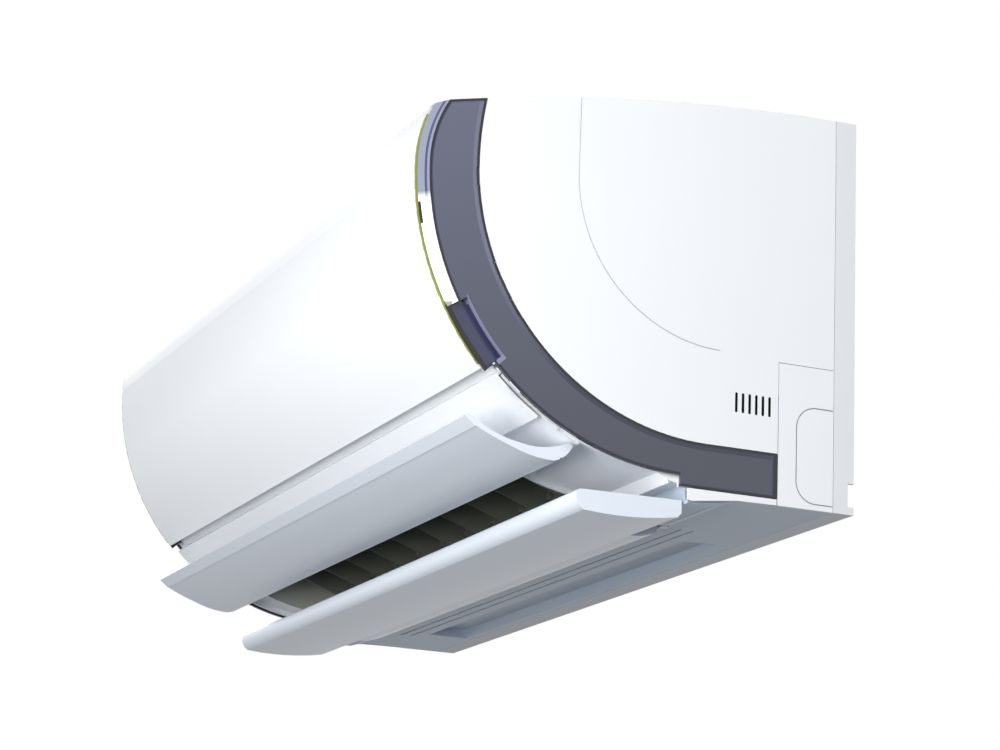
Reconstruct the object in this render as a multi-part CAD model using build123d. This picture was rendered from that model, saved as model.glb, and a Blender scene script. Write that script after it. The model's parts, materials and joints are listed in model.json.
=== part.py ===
"""Wall-mounted mini split indoor unit, built piece by piece.

Frame, in millimetres: +X to the right, +Y into the wall, +Z up. The origin is the
centre of the wall plate's back face. Side sections are drawn by two numbers:
depth, measured out from the wall, and level, measured up from the cabinet's underside.
"""

import math
import os

from build123d import *

# ---- cabinet ---------------------------------------------------------------------
width = 798.0  # over the two side casings
back_height = 312.0  # underside to the top of the back
cabinet_depth = 363.0  # wall to the foremost point of the front panel
plate_level = 190.0  # wall plate's centre above the underside
front_radius = 217.0  # the big arc of the panel, seen from the side
front_level = 222.0  # level of that arc's centre, where the front is foremost
corner_depth = cabinet_depth - 11.0  # where the panel would meet the top, if sharp
corner_level = 268.5
top_crown = 10.0  # how far the top bulges above a straight line
corner_round = 8.0
skin = 3.0  # moulded wall of casings and panel
wall = 2.5  # moulded wall of inner pieces
seam = 0.5  # gap between neighbouring casings
running = 0.06  # radial clearance of pins and shafts that turn

# ---- side casing and smoked side band ---------------------------------------------
back_strip = 17.5  # depth of the rear chassis seen from the side
band_inset = 8.5  # panel arc to the band's outer edge
band_inner_radius = 191.0
band_inner_depth = 125.0  # centre of the band's inner arc
band_inner_level = 230.0
band_brow_radius = 260.0  # gentler arc of the inner edge above its centre
band_foot = 5.0  # level of the band's lower edge
cover_depth = 65.0  # corner cover, from the wall
cover_level = 110.0
lip_width = 7.5  # clear sloping lip of the band, beside the panel's end
grip_from = 29.5  # finger grip, degrees below the front arc's centre
grip_to = 43.5
grip_depth = 8.0
hook_window = 2.2  # three windows in the band's inner edge, where hooks hold it
hook_length = 13.0
hook_lower = 120.5
hook_middle = 147.0
hook_upper = 216.0
crease_radius = 121.0  # shallow groove in the side casing
crease_depth = 115.0
crease_level = 233.0
crease_width = 0.9
vent_count = 6
vent_pitch = 5.6
vent_width = 2.2
vent_length = 15.5
vent_depth = 102.0  # foremost slot, from the wall
vent_level = 74.5
knockout_depth = 50.0
knockout_low = 4.0
knockout_high = 79.0
knockout_round = 17.0

# ---- front panel --------------------------------------------------------------------
panel_width = 780.0
panel_foot = 43.0  # degrees below the arc's centre where the panel ends
panel_back = cabinet_depth - 59.0  # depth of the panel's rear edge, on the top
panel_flange = 12.0
hinge_depth = cabinet_depth - 77.0
hinge_level = 274.0
hinge_arm_x = 368.0  # inner face of each hinge arm
hinge_arm = 6.0
pin_radius = 2.5
pin_length = 9.0
boss_radius = 5.0

# ---- top grille ---------------------------------------------------------------------
grille_front = cabinet_depth - 61.0
slot_from = 44.0
slot_rows = 13
slot_pitch = 17.5
slot_width = 13.0
slot_columns = 7
rib_width = 7.0
rib_drop = 8.6  # ribs under the grille that carry the filters
clip_x = (-260.0, 0.0, 260.0)  # hooks that hold the grille on the chassis

# ---- filters ------------------------------------------------------------------------
filter_inset = skin + rib_drop
filter_back = cabinet_depth - 157.0  # upper end of each filter
filter_foot = 118.0  # level of its lower end
filter_border = 8.0
filter_outer_x = 338.0
filter_inner_x = 36.0
filter_gap = 4.0  # between the two filters, right of the middle

# ---- fan and duct -------------------------------------------------------------------
fan_depth = 178.0
fan_level = 118.0
fan_radius = 55.0
fan_blades = 26
fan_spans = 4
blade_wall = 1.0
blade_chord = 13.0
disc_wall = 2.4
duct_left = -348.0
duct_right = 268.0
fan_gap = 5.0  # between the fan's ends and the duct's end walls
scroll_depth = fan_depth + 20.0  # centre of the rear scroll's arc
scroll_level = fan_level - 8.0
scroll_radius = 80.0
scroll_from = 198.0  # degrees, where the arc runs into the straight rear wall
scroll_to = 130.0
floor_depth = fan_depth - 28.0  # lower lip of the duct
floor_level = 8.0
stabilizer_depth = fan_depth + fan_radius - 5.0
stabilizer_level = fan_level - 34.0
shaft_radius = 4.0
stub_radius = 3.0
bearing_radius = 15.0
bearing_length = 10.0
motor_radius = 43.0
motor_length = 66.0
fan_from = duct_left + fan_gap
fan_to = duct_right - fan_gap
motor_from = duct_right + 8.0

# ---- outlet frame -------------------------------------------------------------------
strip_inset = 4.0  # panel arc to the white strip below it
strip_from = 45.5
strip_to = 57.5
ledge_inset = 11.0
cheek_inset = 8.5
pocket_inset = 14.0  # where the closed lower flap lies
pocket_from = 68.0
pocket_to = 88.0
rim_inset = 10.0
rim_width = 5.0

# ---- flaps --------------------------------------------------------------------------
flap_half = 386.0
flap_wall = 1.8  # the flaps are hollow mouldings
upper_pivot_depth = 230.0
upper_pivot_level = 39.0
lower_half = 390.0
lower_pivot_depth = 118.0
lower_pivot_level = 4.0
tongue_half = 300.0
lug_x = 302.0
ear_wall = 4.0
upper_pivot = (upper_pivot_depth, upper_pivot_level)
lower_pivot = (lower_pivot_depth, lower_pivot_level)
flap_motor_x = 318.0
flap_motor_radius = 8.2
flap_motor_length = 15.0
flap_motor_offset = 5.0  # shaft from the motor's middle
hub_reach = 3.2

# ---- bottom cover -------------------------------------------------------------------
trough_left = -306.0
trough_right = 240.0
cap_x = 287.0  # round caps over the two screws
cap_depth = 104.0
cap_level = -0.6
cap_radius = 4.5
support_x = (-345.0, 0.0, 270.0)  # posts between the cover and the chassis floor

# ---- louvers ------------------------------------------------------------------------
louver_count = 10
louver_pitch = 58.0
louver_down = 50.0  # from the scroll's end down the rear wall to the blades' axis
louver_root = 9.0  # blade's root above the rear wall
louver_tip = 70.0
louver_back = 20.0  # blade edge upstream of the axis
louver_front = 18.0
louver_wall = 1.6
stem_radius = 2.4
crank = 13.0  # from the axis to the pin that the link bar drives
crank_x = 291.0  # axis of the crank that the louver motor turns
rail_out = 7.6  # top of the rail above the rear wall
link_out = 4.5  # middle of the link bar above the rear wall
link_wall = 2.4

# ---- heat exchanger -----------------------------------------------------------------
coil_left = -330.0
coil_right = 260.0
coil_thickness = 26.0
fin_count = 26
fin_wall = 7.0
fin_cut = 8.0
tube_radius = 3.5
tube_pitch = 21.0
coil_lines = {  # middle of each slab of fins, from one end to the other, as depth and level
    "coil_front_lower": ((276.0, 100.0), (314.0, 188.0)),
    "coil_front_upper": ((304.0, 203.0), (232.0, 262.0)),
    "coil_rear": ((216.0, 262.0), (96.0, 186.0)),
}
pan_left = -374.0
pan_right = 262.0
drain_x = -370.0
drain_level = 36.0

# ---- electrics ----------------------------------------------------------------------
control_back = fan_depth + motor_radius + 11.0  # back of the electrical box
box_front = control_back + 76.0
box_left = 282.0
box_right = 386.0
box_low = 112.0
box_high = 246.0
board_depth = control_back + 12.0
board_wall = 1.6
terminal_left = 300.0
terminal_pitch = 18.0
terminal_count = 4
receiver_left = 296.0
receiver_right = 372.0
button_x = 358.0
button_level = 136.0
button_radius = 3.5
button_travel = 1.2
lens_x = 318.0
lens_width = 26.0

# ---- pipes --------------------------------------------------------------------------
gas_radius = 4.76
liquid_radius = 3.175
gas_union_radius = 7.94
liquid_union_radius = 5.56
union_length = 14.0
gas_x = 376.0  # where each pipe comes down at the right end
gas_start = (150.0, 226.0)
gas_level = 52.0
gas_end = 96.0
liquid_x = 362.0
liquid_start = (118.0, 200.0)
liquid_level = 30.0
liquid_end = 140.0
pipe_depth = 32.0
pipe_bend = 16.0
bay_depth = 56.0
bay_level = 75.0
bulkhead_x = 350.0

# ---- wall plate ---------------------------------------------------------------------
plate_width = 660.0
plate_height = 210.0
sheet = 1.2
plate_reach = 8.0  # how far the plate's rails stand off the wall
screw_radius = 2.6
screw_pitch_x = 450.0
screw_pitch_z = 160.0
hook_x = 240.0
hook_width = 30.0
plate_top = plate_level + plate_height / 2
plate_foot = plate_level - plate_height / 2
rib_half = 190.0  # half the length of the two pressed ribs
rib_rise = 4.0

half = width / 2
front_centre = cabinet_depth - front_radius
brow_reach = cabinet_depth - corner_depth
brow_rise = corner_level - front_level
brow_radius = (brow_reach**2 + brow_rise**2) / (2 * brow_reach)
top_chord = math.hypot(corner_depth, back_height - corner_level)
top_radius = top_chord**2 / (8 * top_crown) + top_crown / 2
far = 2 * cabinet_depth


def at(depth, level):
    """Depth and level as Y and Z of the frame."""
    return (-depth, level - plate_level)


def polar(radius, degrees):
    """Depth and level of a point about the front arc's centre, degrees below it."""
    turn = math.radians(degrees)
    return (front_centre + radius * math.cos(turn), front_level - radius * math.sin(turn))


def disc(depth, level, radius):
    return Pos(*at(depth, level)) * Circle(radius)


def block(depth_from, depth_to, level_from, level_to):
    """Rectangle of a side section."""
    y, z = at((depth_from + depth_to) / 2, (level_from + level_to) / 2)
    return Pos(y, z) * Rectangle(abs(depth_to - depth_from), abs(level_to - level_from))


def outline(*points):
    """Straight-sided region of a side section."""
    return make_face(Polyline(*[at(*point) for point in points], close=True))


def run(section, x_from, x_to):
    """A side section, extruded between two places across the cabinet."""
    return extrude(Plane.YZ.offset(x_from) * section, x_to - x_from, dir=(1, 0, 0))


def pin(depth, level, radius, x_from, x_to):
    return run(disc(depth, level, radius), x_from, x_to)


def mirrored(solid):
    return mirror(solid, Plane.YZ)


def top_centre():
    """Centre of the top's long arc, below the chord from the back to the corner."""
    slope = math.atan2(corner_level - back_height, corner_depth)
    drop = top_radius - top_crown
    middle = (corner_depth / 2, (back_height + corner_level) / 2)
    return (middle[0] + drop * math.sin(slope), middle[1] - drop * math.cos(slope))


def envelope(front_inset=0.0, top_inset=0.0):
    """Side section of the closed cabinet, inset from its skin at the front and the top."""
    low = disc(front_centre, front_level, front_radius - front_inset)
    low &= block(front_centre, far, 0, front_level)
    brow = disc(cabinet_depth - brow_radius, front_level, brow_radius - front_inset)
    brow &= block(cabinet_depth - brow_radius, far, front_level, far)
    back = block(0, cabinet_depth - brow_radius, front_level, far)
    back += block(0, front_centre, 0, front_level)
    body = (low + brow + back) & disc(*top_centre(), top_radius - top_inset)
    corner = body.vertices().sort_by_distance(Vector(*at(corner_depth, corner_level)))[0]
    return fillet(corner, max(corner_round - max(front_inset, top_inset), 1.0))


def sector(degrees_from, degrees_to):
    """Wedge about the front arc's centre, in degrees below it."""
    middle = (degrees_from + degrees_to) / 2
    return outline(
        (front_centre, front_level),
        polar(far, degrees_from),
        polar(far, middle),
        polar(far, degrees_to),
    )


def ring(inset_outer, inset_inner, degrees_from, degrees_to):
    """Part of a shell that follows the front arc."""
    shell = disc(front_centre, front_level, front_radius - inset_outer)
    shell -= disc(front_centre, front_level, front_radius - inset_inner)
    return shell & sector(degrees_from, degrees_to)


# ---- shared sections ----------------------------------------------------------------
def band_inside(grow=0.0):
    """Region behind the band's inner edge."""
    radius = band_inner_radius + grow
    low = disc(band_inner_depth, band_inner_level, radius)
    low &= block(band_inner_depth, far, 0, band_inner_level)
    brow_centre = band_inner_depth + band_inner_radius - band_brow_radius
    high = disc(brow_centre, band_inner_level, band_brow_radius + grow)
    high &= block(band_inner_depth, far, band_inner_level, far)
    foot = band_inner_level - radius
    return low + high + block(0, band_inner_depth, foot, far)


def side_outline(front_inset):
    """Whole side of the cabinet, down to the band's foot."""
    return envelope(front_inset) - block(0, far, -far, band_foot)


def corner_cut(gap=0.0):
    return block(-1, cover_depth + gap, -far, cover_level + gap)


def grip_cut():
    """Finger grip at the panel's end, where the panel is pulled open."""
    return ring(-far / 2, band_inset + grip_depth, grip_from, grip_to)


# ---- outer casings -------------------------------------------------------------------
def front_region(inset):
    """Region behind the two front arcs, without the top's cut."""
    low = disc(front_centre, front_level, front_radius - inset)
    low &= block(front_centre, far, 0, front_level)
    brow = disc(cabinet_depth - brow_radius, front_level, brow_radius - inset)
    return low + (brow & block(cabinet_depth - brow_radius, far, front_level, far))


def sloped(inset, x_to):
    """Front region as a solid whose front edge is bevelled towards the cabinet's end."""
    solid = run(front_region(inset), half - lip_width, x_to)
    rim = solid.edges().filter_by(GeomType.CIRCLE)
    rim = rim.filter_by(lambda edge: abs(edge.center().X - x_to) < 0.01)
    slope = x_to - half + lip_width - 0.5
    return chamfer(rim, slope)


def side_band():
    """Smoked translucent band, with a clear sloping lip beside the panel's end."""
    face = side_outline(band_inset) - band_inside()
    face &= block(cover_depth + seam, far, 0, far)
    band = run(face - grip_cut(), half - skin, half)
    lip = sloped(band_inset - lip_width + 0.5, half) - sloped(band_inset - lip_width + 3.5, half - skin)
    reach = envelope() & (block(front_centre, far, front_level, far) + sector(-1.0, grip_from))
    reach -= front_region(band_inset + 3.0)
    band += lip & run(reach, half - lip_width - 1, half + 1)
    depth = band_inset + grip_depth
    floor = ring(1.0, depth + 1.5, grip_from - 0.4, grip_to + 0.4)
    band += run(floor, half - lip_width - 0.8, half - lip_width + 0.9)
    back = ring(depth, depth + 1.5, grip_from - 0.4, grip_to + 0.4)
    band += run(back, half - lip_width, half - 1.0)
    for degrees in (grip_from - 0.4, grip_to + 0.05):
        end = ring(band_inset - 1.0, depth + 1.0, degrees, degrees + 0.35)
        band += run(end, half - lip_width, half - 1.0)
    edge = band_inside(hook_window) - band_inside()
    for level in (hook_lower, hook_middle, hook_upper):
        window = block(front_centre, far, level - hook_length / 2, level + hook_length / 2)
        band -= run(edge & window, half - skin - 1, half + 1)
    tab = ring(band_inset - 2.0, band_inset + 1.0, 48.5, 51.5)
    return band + run(tab, half - skin, half - 0.8)


def side_casing():
    """White side: outer face behind the band, and the ledge that the band lies on."""
    outside = block(back_strip + seam, far, band_foot, far) - corner_cut(seam)
    face = envelope() & band_inside(-seam) & outside
    casing = run(face, half - skin, half)
    ledge = envelope(band_inset + 2.0, skin + seam) & outside
    pocket = ring(-far / 2, band_inset + grip_depth + 2.0, grip_from - 0.6, grip_to + 0.6)
    casing += run(ledge - pocket, half - skin - wall, half - skin)
    top = envelope(0, skin) - envelope(0, skin + wall)
    top &= block(back_strip + seam, 262.0, front_level, far)
    casing += run(top, half - 18.0, half - skin)
    tab = block(plate_reach + 1.5 + wall, back_strip + 2.0, 140.0, 165.0)
    casing += run(tab, half - 10.0, half - skin - 0.5)
    boss_from = half - 23.0
    casing += pin(hinge_depth, hinge_level, boss_radius, boss_from, half - skin)
    casing -= pin(hinge_depth, hinge_level, pin_radius + running, boss_from - 1, half - skin - wall)
    crease = disc(crease_depth, crease_level, crease_radius)
    crease -= disc(crease_depth, crease_level, crease_radius - crease_width)
    crease &= block(crease_depth, far, 0, crease_level)
    rise = block(
        crease_depth + crease_radius - crease_width,
        crease_depth + crease_radius,
        crease_level,
        far,
    )
    return casing - run(crease + rise, half - 0.6, half + 1)


def vents():
    """Slots that cool the electrical box, in the right casing alone."""
    slots = []
    for index in range(vent_count):
        y, z = at(vent_depth - index * vent_pitch - vent_width / 2, vent_level)
        slot = Pos(y, z) * SlotOverall(vent_length, vent_width, rotation=90)
        slots.append(run(slot, half - 10, half + 1))
    return slots


def corner_cover():
    """Cover of the pipe corner, with its knock-out line and inner flanges."""
    face = block(back_strip + seam, cover_depth, 0, cover_level)
    cover = run(face, half - skin, half)
    front_wall = block(cover_depth - wall, cover_depth, wall + seam, cover_level)
    cover += run(front_wall, half - 12.0, half - skin)
    top_wall = block(back_strip + seam, cover_depth, cover_level - wall, cover_level)
    cover += run(top_wall, half - 12.0, half - skin)
    clip = block(back_strip + 12.0, cover_depth - 14.0, bay_level + wall, bay_level + 2 * wall)
    cover += run(clip, half - 15.0, half - skin)
    return cover - run(knockout_groove(), half - 0.7, half + 1)


def knockout_groove():
    """Thin line where the pipe opening is broken out."""
    middle = (knockout_low + knockout_high) / 2
    y, z = at(knockout_depth / 2 - knockout_round, middle)
    length = knockout_depth + 2 * knockout_round
    shape = RectangleRounded(length, knockout_high - knockout_low, knockout_round)
    inner = RectangleRounded(
        length - 2 * crease_width, knockout_high - knockout_low - 2 * crease_width, knockout_round - 1
    )
    return Pos(y, z) * (shape - inner)


def top_grille():
    """Curved intake grille of the top, with deep ribs below it."""
    shell = envelope() - envelope(0, skin)
    shell &= block(back_strip + seam, grille_front, front_level, far)
    side = half - skin - seam
    grille = run(shell, -side, side)
    column = 2 * (side - 30.0) / slot_columns
    slots = []
    for row in range(slot_rows):
        depth = slot_from + row * slot_pitch
        for index in range(slot_columns):
            x = (index - (slot_columns - 1) / 2) * column
            place = Pos(x, -depth, back_height - plate_level)
            slots.append(place * Box(column - rib_width, slot_width, 80))
    grille -= slots
    rib = envelope(0, skin) - envelope(0, skin + rib_drop)
    rib &= block(back_strip + seam, grille_front, front_level, far)
    for index in range(slot_columns + 1):
        x = (index - slot_columns / 2) * column
        grille += run(rib, x - 1.2, x + 1.2)
    back_face = plate_reach + 1.5 + wall
    hook = block(back_face, 25.0, 300.0, 303.0) + block(22.0, 25.0, 300.0, 309.5)
    for x in clip_x:
        grille += run(hook, x - 12, x + 12)
    for sign in (-1, 1):
        x = sign * (hinge_arm_x + hinge_arm / 2)
        notch = Pos(x, -grille_front, corner_level - plate_level) * Box(hinge_arm + 3, 54, 60)
        grille -= notch
    return grille


def front_panel():
    """Curved front panel with end flanges, foot lip and two hinge arms."""
    side = panel_width / 2
    reach = block(panel_back, far, front_level, far) + sector(0, panel_foot)
    body = envelope() & (reach + block(front_centre, far, front_level, far))
    body -= block(-1, panel_back, front_level, far)
    panel = run(body - envelope(skin, skin), -side, side)
    flange = body - envelope(panel_flange, panel_flange)
    foot = body - envelope(skin + 6.0)
    foot &= sector(panel_foot - 0.8, panel_foot)
    panel += run(foot, -side, side)
    arm = disc(hinge_depth, hinge_level, boss_radius - 0.5)
    arm += outline(
        (hinge_depth, hinge_level + 3.5),
        (panel_back + 8, hinge_level - 3.0),
        (panel_back + 26, hinge_level - 7.0),
        (panel_back + 24, hinge_level - 22.0),
        (hinge_depth, hinge_level - 4.5),
    )
    arm -= envelope() - envelope(skin, skin)
    web = body - envelope(panel_flange, panel_flange + 14)
    for sign in (-1, 1):
        end = sorted((sign * (side - wall), sign * side))
        panel += run(flange, *end)
        ends = sorted((sign * hinge_arm_x, sign * (hinge_arm_x + hinge_arm)))
        panel += run(arm + (web & block(panel_back, panel_back + 40, front_level, far)), *ends)
        start = hinge_arm_x + hinge_arm
        ends = sorted((sign * start, sign * (start + pin_length)))
        panel += pin(hinge_depth, hinge_level, pin_radius, *ends)
    return panel


# ---- rear chassis and duct --------------------------------------------------------------
def scroll_wall_outline(thickness):
    """Rear wall of the duct: an arc about the fan, then a straight run to the lower lip."""
    centre = (scroll_depth, scroll_level)

    def on_arc(degrees, radius):
        turn = math.radians(degrees)
        return (centre[0] + radius * math.cos(turn), centre[1] + radius * math.sin(turn))

    middle = (scroll_from + scroll_to) / 2
    outer = scroll_radius + thickness
    lip = (floor_depth, floor_level)
    start, end = on_arc(scroll_from, scroll_radius), on_arc(scroll_to, scroll_radius)
    start_out, end_out = on_arc(scroll_from, outer), on_arc(scroll_to, outer)
    lip_out = (lip[0] - thickness, lip[1])
    return make_face(
        [
            Line(at(*lip), at(*start)),
            ThreePointArc(at(*start), at(*on_arc(middle, scroll_radius)), at(*end)),
            Line(at(*end), at(*end_out)),
            ThreePointArc(at(*end_out), at(*on_arc(middle, outer)), at(*start_out)),
            Line(at(*start_out), at(*lip_out)),
            Line(at(*lip_out), at(*lip)),
        ]
    )


def duct_inside():
    """Region swept by air between the rear wall, the stabilizer and the mouth."""
    turn = math.radians(scroll_from)
    start = (
        scroll_depth + scroll_radius * math.cos(turn),
        scroll_level + scroll_radius * math.sin(turn),
    )
    mouth = polar(front_radius - strip_inset, strip_to)
    lower = outline(
        start,
        (floor_depth, floor_level),
        (floor_depth + 20.0, floor_level + 6.0),
        (mouth[0] - 6.0, mouth[1] - 4.0),
        (stabilizer_depth, stabilizer_level),
        (fan_depth, fan_level),
    )
    reach = disc(front_centre, front_level, front_radius - cheek_inset - wall)
    return (lower & reach) + disc(fan_depth, fan_level, fan_radius + 9.0)


def rear_chassis():
    """Back shell: recessed back, pipe bay, rear scroll, duct ends, ribs and rear pan."""
    side = half - skin
    rim = envelope() - envelope(0, wall) - block(-1, far, -1, front_level)
    rim &= block(0, back_strip, 0, far)
    shell = run(rim, -half, half)
    end = envelope() & block(0, back_strip, 0, far)
    end -= block(-1, 5.0, 6.0, 24.0)
    shell += run(end, side, half) + run(end, -half, -side)
    recess = plate_reach + 1.5
    back = block(recess, recess + wall, bay_level, far) & envelope(0, 1.0)
    shell += run(back, -side, side)
    sole_top = band_foot + 7.5
    bay = block(recess, bay_depth + wall, bay_level, bay_level + wall)
    bay += block(bay_depth, bay_depth + wall, sole_top - wall, bay_level)
    bay += block(bay_depth, floor_depth - 2.0, sole_top - wall, sole_top)
    shell += run(bay, -side + 10.0, side - 10.0)
    shell += run(block(0, back_strip, 0, wall), -half, half)
    scroll = scroll_wall_outline(wall)
    shell += run(scroll, duct_left - wall, duct_right + wall)
    ends = duct_inside()
    shell += run(ends, duct_left - wall, duct_left)
    shell += run(ends, duct_right, duct_right + wall)
    rib = block(recess, scroll_depth, sole_top, 162.0)
    rib -= disc(scroll_depth, scroll_level, scroll_radius + 1.0)
    rib -= duct_inside() + block(fan_depth - 40.0, far, -far, 60.0)
    rib &= block(recess, 142.0, sole_top, 162.0) - block(recess, bay_depth, 0, bay_level)
    for x in (duct_left - wall, -200.0, -40.0, 120.0, duct_right):
        shell += run(rib, x, x + wall)
    pan = outline(
        (recess, 163.0), (73.0, 163.0), (124.0, 166.0), (125.0, 176.5), (144.5, 172.0),
        (146.5, 171.5), (145.5, 174.8), (122.5, 180.5), (120.8, 168.6), (75.5, 165.6),
        (73.0, 192.0), (70.3, 192.0), (72.4, 166.0), (recess, 166.0),
    )
    shell += run(pan, duct_left - wall, duct_right + wall)
    bulkhead = block(recess, control_back, sole_top, 250.0) - block(recess, bay_depth, 0, bay_level)
    bulkhead -= disc(fan_depth, fan_level, motor_radius + 4.0) + duct_inside()
    bulkhead -= outline((120.0, 10.0), (132.0, 90.0), (control_back, 90.0), (far, 10.0))
    bulkhead -= disc(*gas_start, gas_radius + 2.0) + disc(*liquid_start, liquid_radius + 2.0)
    shell += run(bulkhead, bulkhead_x, bulkhead_x + wall)
    shell -= pin(fan_depth, fan_level, bearing_radius, duct_left - 2 * wall, duct_left + 1)
    shell -= pin(fan_depth, fan_level, 12.0, duct_right - 1, duct_right + 2 * wall)
    shell -= run(link_section(1.2), duct_right - 1, duct_right + wall + 1)
    for x in (duct_left - wall / 2, duct_right + wall / 2):
        bore = disc(upper_pivot_depth, upper_pivot_level, pin_radius + running)
        shell -= run(bore, x - 2 * wall, x + 2 * wall)
    shell -= run(block(bay_depth - 1, bay_depth + 2 * wall, 20.0, 68.0), 353.0, half)
    shell -= run(block(bay_depth - 1, bay_depth + 2 * wall, 24.0, 48.0), -half, drain_x + 12.0)
    slot = block(recess - 1, recess + wall + 1, plate_top - 19.0, plate_top)
    catch = block(recess - 4.0, recess + 0.5, plate_foot - 5.0, plate_foot - 0.2)
    for sign in (-1, 1):
        near, wide = sign * (hook_x - hook_width / 2 - 3), sign * (hook_x + hook_width / 2 + 3)
        shell -= run(slot, *sorted((near, wide)))
        shell += run(catch, *sorted((near, wide)))
    sole_notch = Pos(flap_motor_x, -lower_pivot_depth, sole_top - plate_level)
    return shell - sole_notch * Box(40.0, 40.0, 16.0)


def outlet_frame():
    """White frame of the outlet: strip, ledge behind the panel's foot, cheeks and ceiling."""
    side = half - skin - wall - seam
    inner = side - rim_width
    strip = ring(strip_inset, strip_inset + wall, strip_from, strip_to)
    step = ring(strip_inset, ledge_inset + wall, strip_from, strip_from + 0.7)
    ledge = ring(ledge_inset, ledge_inset + wall, panel_foot - 6.0, strip_from + 0.7)
    frame = run(strip + step, -side, side)
    frame += run(ledge, -flap_half, flap_half)
    mouth = polar(front_radius - strip_inset, strip_to)
    mouth_in = polar(front_radius - strip_inset - wall, strip_to - 0.8)
    ceiling = outline(
        mouth,
        (stabilizer_depth, stabilizer_level),
        (stabilizer_depth + 1.0, stabilizer_level + 5.0),
        (stabilizer_depth + 6.0, stabilizer_level + 4.0),
        mouth_in,
    )
    frame += run(ceiling, duct_left, duct_right)
    drop = cheek_inset
    root = ring(strip_inset, drop + wall, strip_to - 1.0, strip_to)
    upper = ring(drop, drop + wall, strip_to - 1.0, pocket_from)
    step = ring(drop, pocket_inset + wall, pocket_from - 0.7, pocket_from)
    lower = ring(pocket_inset, pocket_inset + wall, pocket_from - 0.7, pocket_to)
    rim = ring(rim_inset, pocket_inset + wall, strip_to + 4.0, pocket_to)
    rim += ring(drop, pocket_inset + wall, strip_from + 1.0, strip_to + 5.0)
    rim += ring(ledge_inset, ledge_inset + wall, grip_to + 1.4, strip_from + 2.0)
    end = polar(front_radius - pocket_inset, pocket_to)
    tail = outline(
        (end[0] + 2.4, end[1] + 0.9), (end[0] + 2.4, end[1] + 2.2), (end[0] - 2.0, end[1] + 2.2),
        (148.4, 13.0), (148.4, 9.0), (150.4, 9.0), (end[0] + 0.2, end[1] + 0.4),
    )
    for sign, start in ((-1, -duct_left), (1, duct_right)):
        cheek = root + upper + step + lower + tail
        frame += run(cheek, *sorted((sign * inner, sign * (start + wall))))
        frame += run(rim, *sorted((sign * side, sign * inner)))
    return frame


def bottom_cover():
    """Underside with its long trough, two shallow lines and the lower flap's ears."""
    side = half - skin - seam
    plate = block(back_strip + seam, 100.0, 0, wall)
    nose = outline((99.0, 0), (112.0, -4.0), (112.0, -4.0 + wall), (99.0, wall))
    cover = run(plate + nose, -side, side)
    wing = outline((111.0, -3.7), (138.0, -6.0), (138.0, -6.0 + wall), (111.0, wall - 3.7))
    rise = block(136.0, 138.0, -5.5, band_foot + 7.5 - wall)
    for ends in ((-side, -lug_x), (lug_x, side)):
        cover += run(wing, *ends)
    for ends in ((-side + 4.5, -lug_x), (lug_x, side - 4.5)):
        cover += run(rise, *ends)
    lug = outline(
        (96.0, 0.5), (100.0, 9.0), (112.0, 10.0), (125.0, 9.0), (128.0, -3.5), (112.0, -2.0)
    )
    bore = disc(lower_pivot_depth, lower_pivot_level, pin_radius + running)
    for sign in (-1, 1):
        ends = sorted((sign * lug_x, sign * (lug_x + ear_wall)))
        cover += run(lug - bore, *ends)
        ends = sorted((sign * (side - wall), sign * (half - 0.2)))
        cover += run(block(cover_depth + seam, 137.0, 0, band_foot - seam), *ends)
    trough = outline((24.0, -1.0), (27.0, 8.0), (52.0, 8.0), (64.0, -1.0))
    trough_shell = outline((21.0, 0), (24.5, 8.0 + wall), (53.5, 8.0 + wall), (68.0, 0))
    cover += run(trough_shell, trough_left - wall, trough_right + wall)
    cover -= run(trough, trough_left, trough_right)
    y, z = at(92.0, (wall + band_foot + 7.5 - wall) / 2)
    for x in support_x:
        cover += Pos(x, y, z) * Cylinder(4.0, band_foot + 7.5 - 2 * wall)
    y, z = at(cap_depth, cap_level)
    for x in (-cap_x, cap_x):
        cover -= Pos(x, y, z - 2.0) * Cylinder(cap_radius + 0.1, 4.0)
    for depth in (74.0, 84.0):
        cover -= run(block(depth, depth + 2.0, -1, 0.8), trough_left - 20, trough_right + 40)
    return cover


# ---- flaps -----------------------------------------------------------------------------
def upper_flap():
    """Upper flap: a shallow foil that swings down and forward from below the panel."""
    lip, shoulder, heel, tail = (305.2, 32.9), (276.0, 21.0), (243.0, 14.4), (227.5, 27.5)
    foil = make_face(
        [
            ThreePointArc(at(*lip), at(291.0, 26.4), at(*shoulder)),
            ThreePointArc(at(*shoulder), at(258.5, 15.9), at(*heel)),
            ThreePointArc(at(*heel), at(233.5, 18.9), at(*tail)),
            Line(at(*tail), at(231.0, 29.5)),
            ThreePointArc(at(231.0, 29.5), at(249.0, 23.6), at(268.0, 24.3)),
            ThreePointArc(at(268.0, 24.3), at(289.0, 29.5), at(304.0, 37.0)),
            Line(at(304.0, 37.0), at(*lip)),
        ]
    )
    nose = outline((313.4, 39.0), (304.9, 32.2), (304.0, 34.0), (303.4, 36.8), (311.2, 41.2))
    flap = run(foil + nose, -flap_half, flap_half)
    flap -= run(offset(foil, amount=-flap_wall), flap_wall - flap_half, flap_half - flap_wall)
    flap += run(disc(241.2, 16.4, 2.2), 8.0 - flap_half, flap_half - 8.0)
    flap -= run(disc(236.6, 16.5, 1.1), -far, far)
    ear = disc(*upper_pivot, 5.0) + outline(
        (225.6, 38.0), (228.5, 26.0), (246.0, 19.0), (234.4, 41.0)
    )
    for wall_x, sign in ((duct_left, 1), (duct_right, -1)):
        inner = wall_x + sign * 2.0
        flap += run(ear, *sorted((inner, inner + sign * ear_wall)))
        outer = wall_x - sign * (wall + 3.0)
        flap += pin(*upper_pivot, pin_radius, *sorted((inner, outer)))
    return flap


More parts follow.
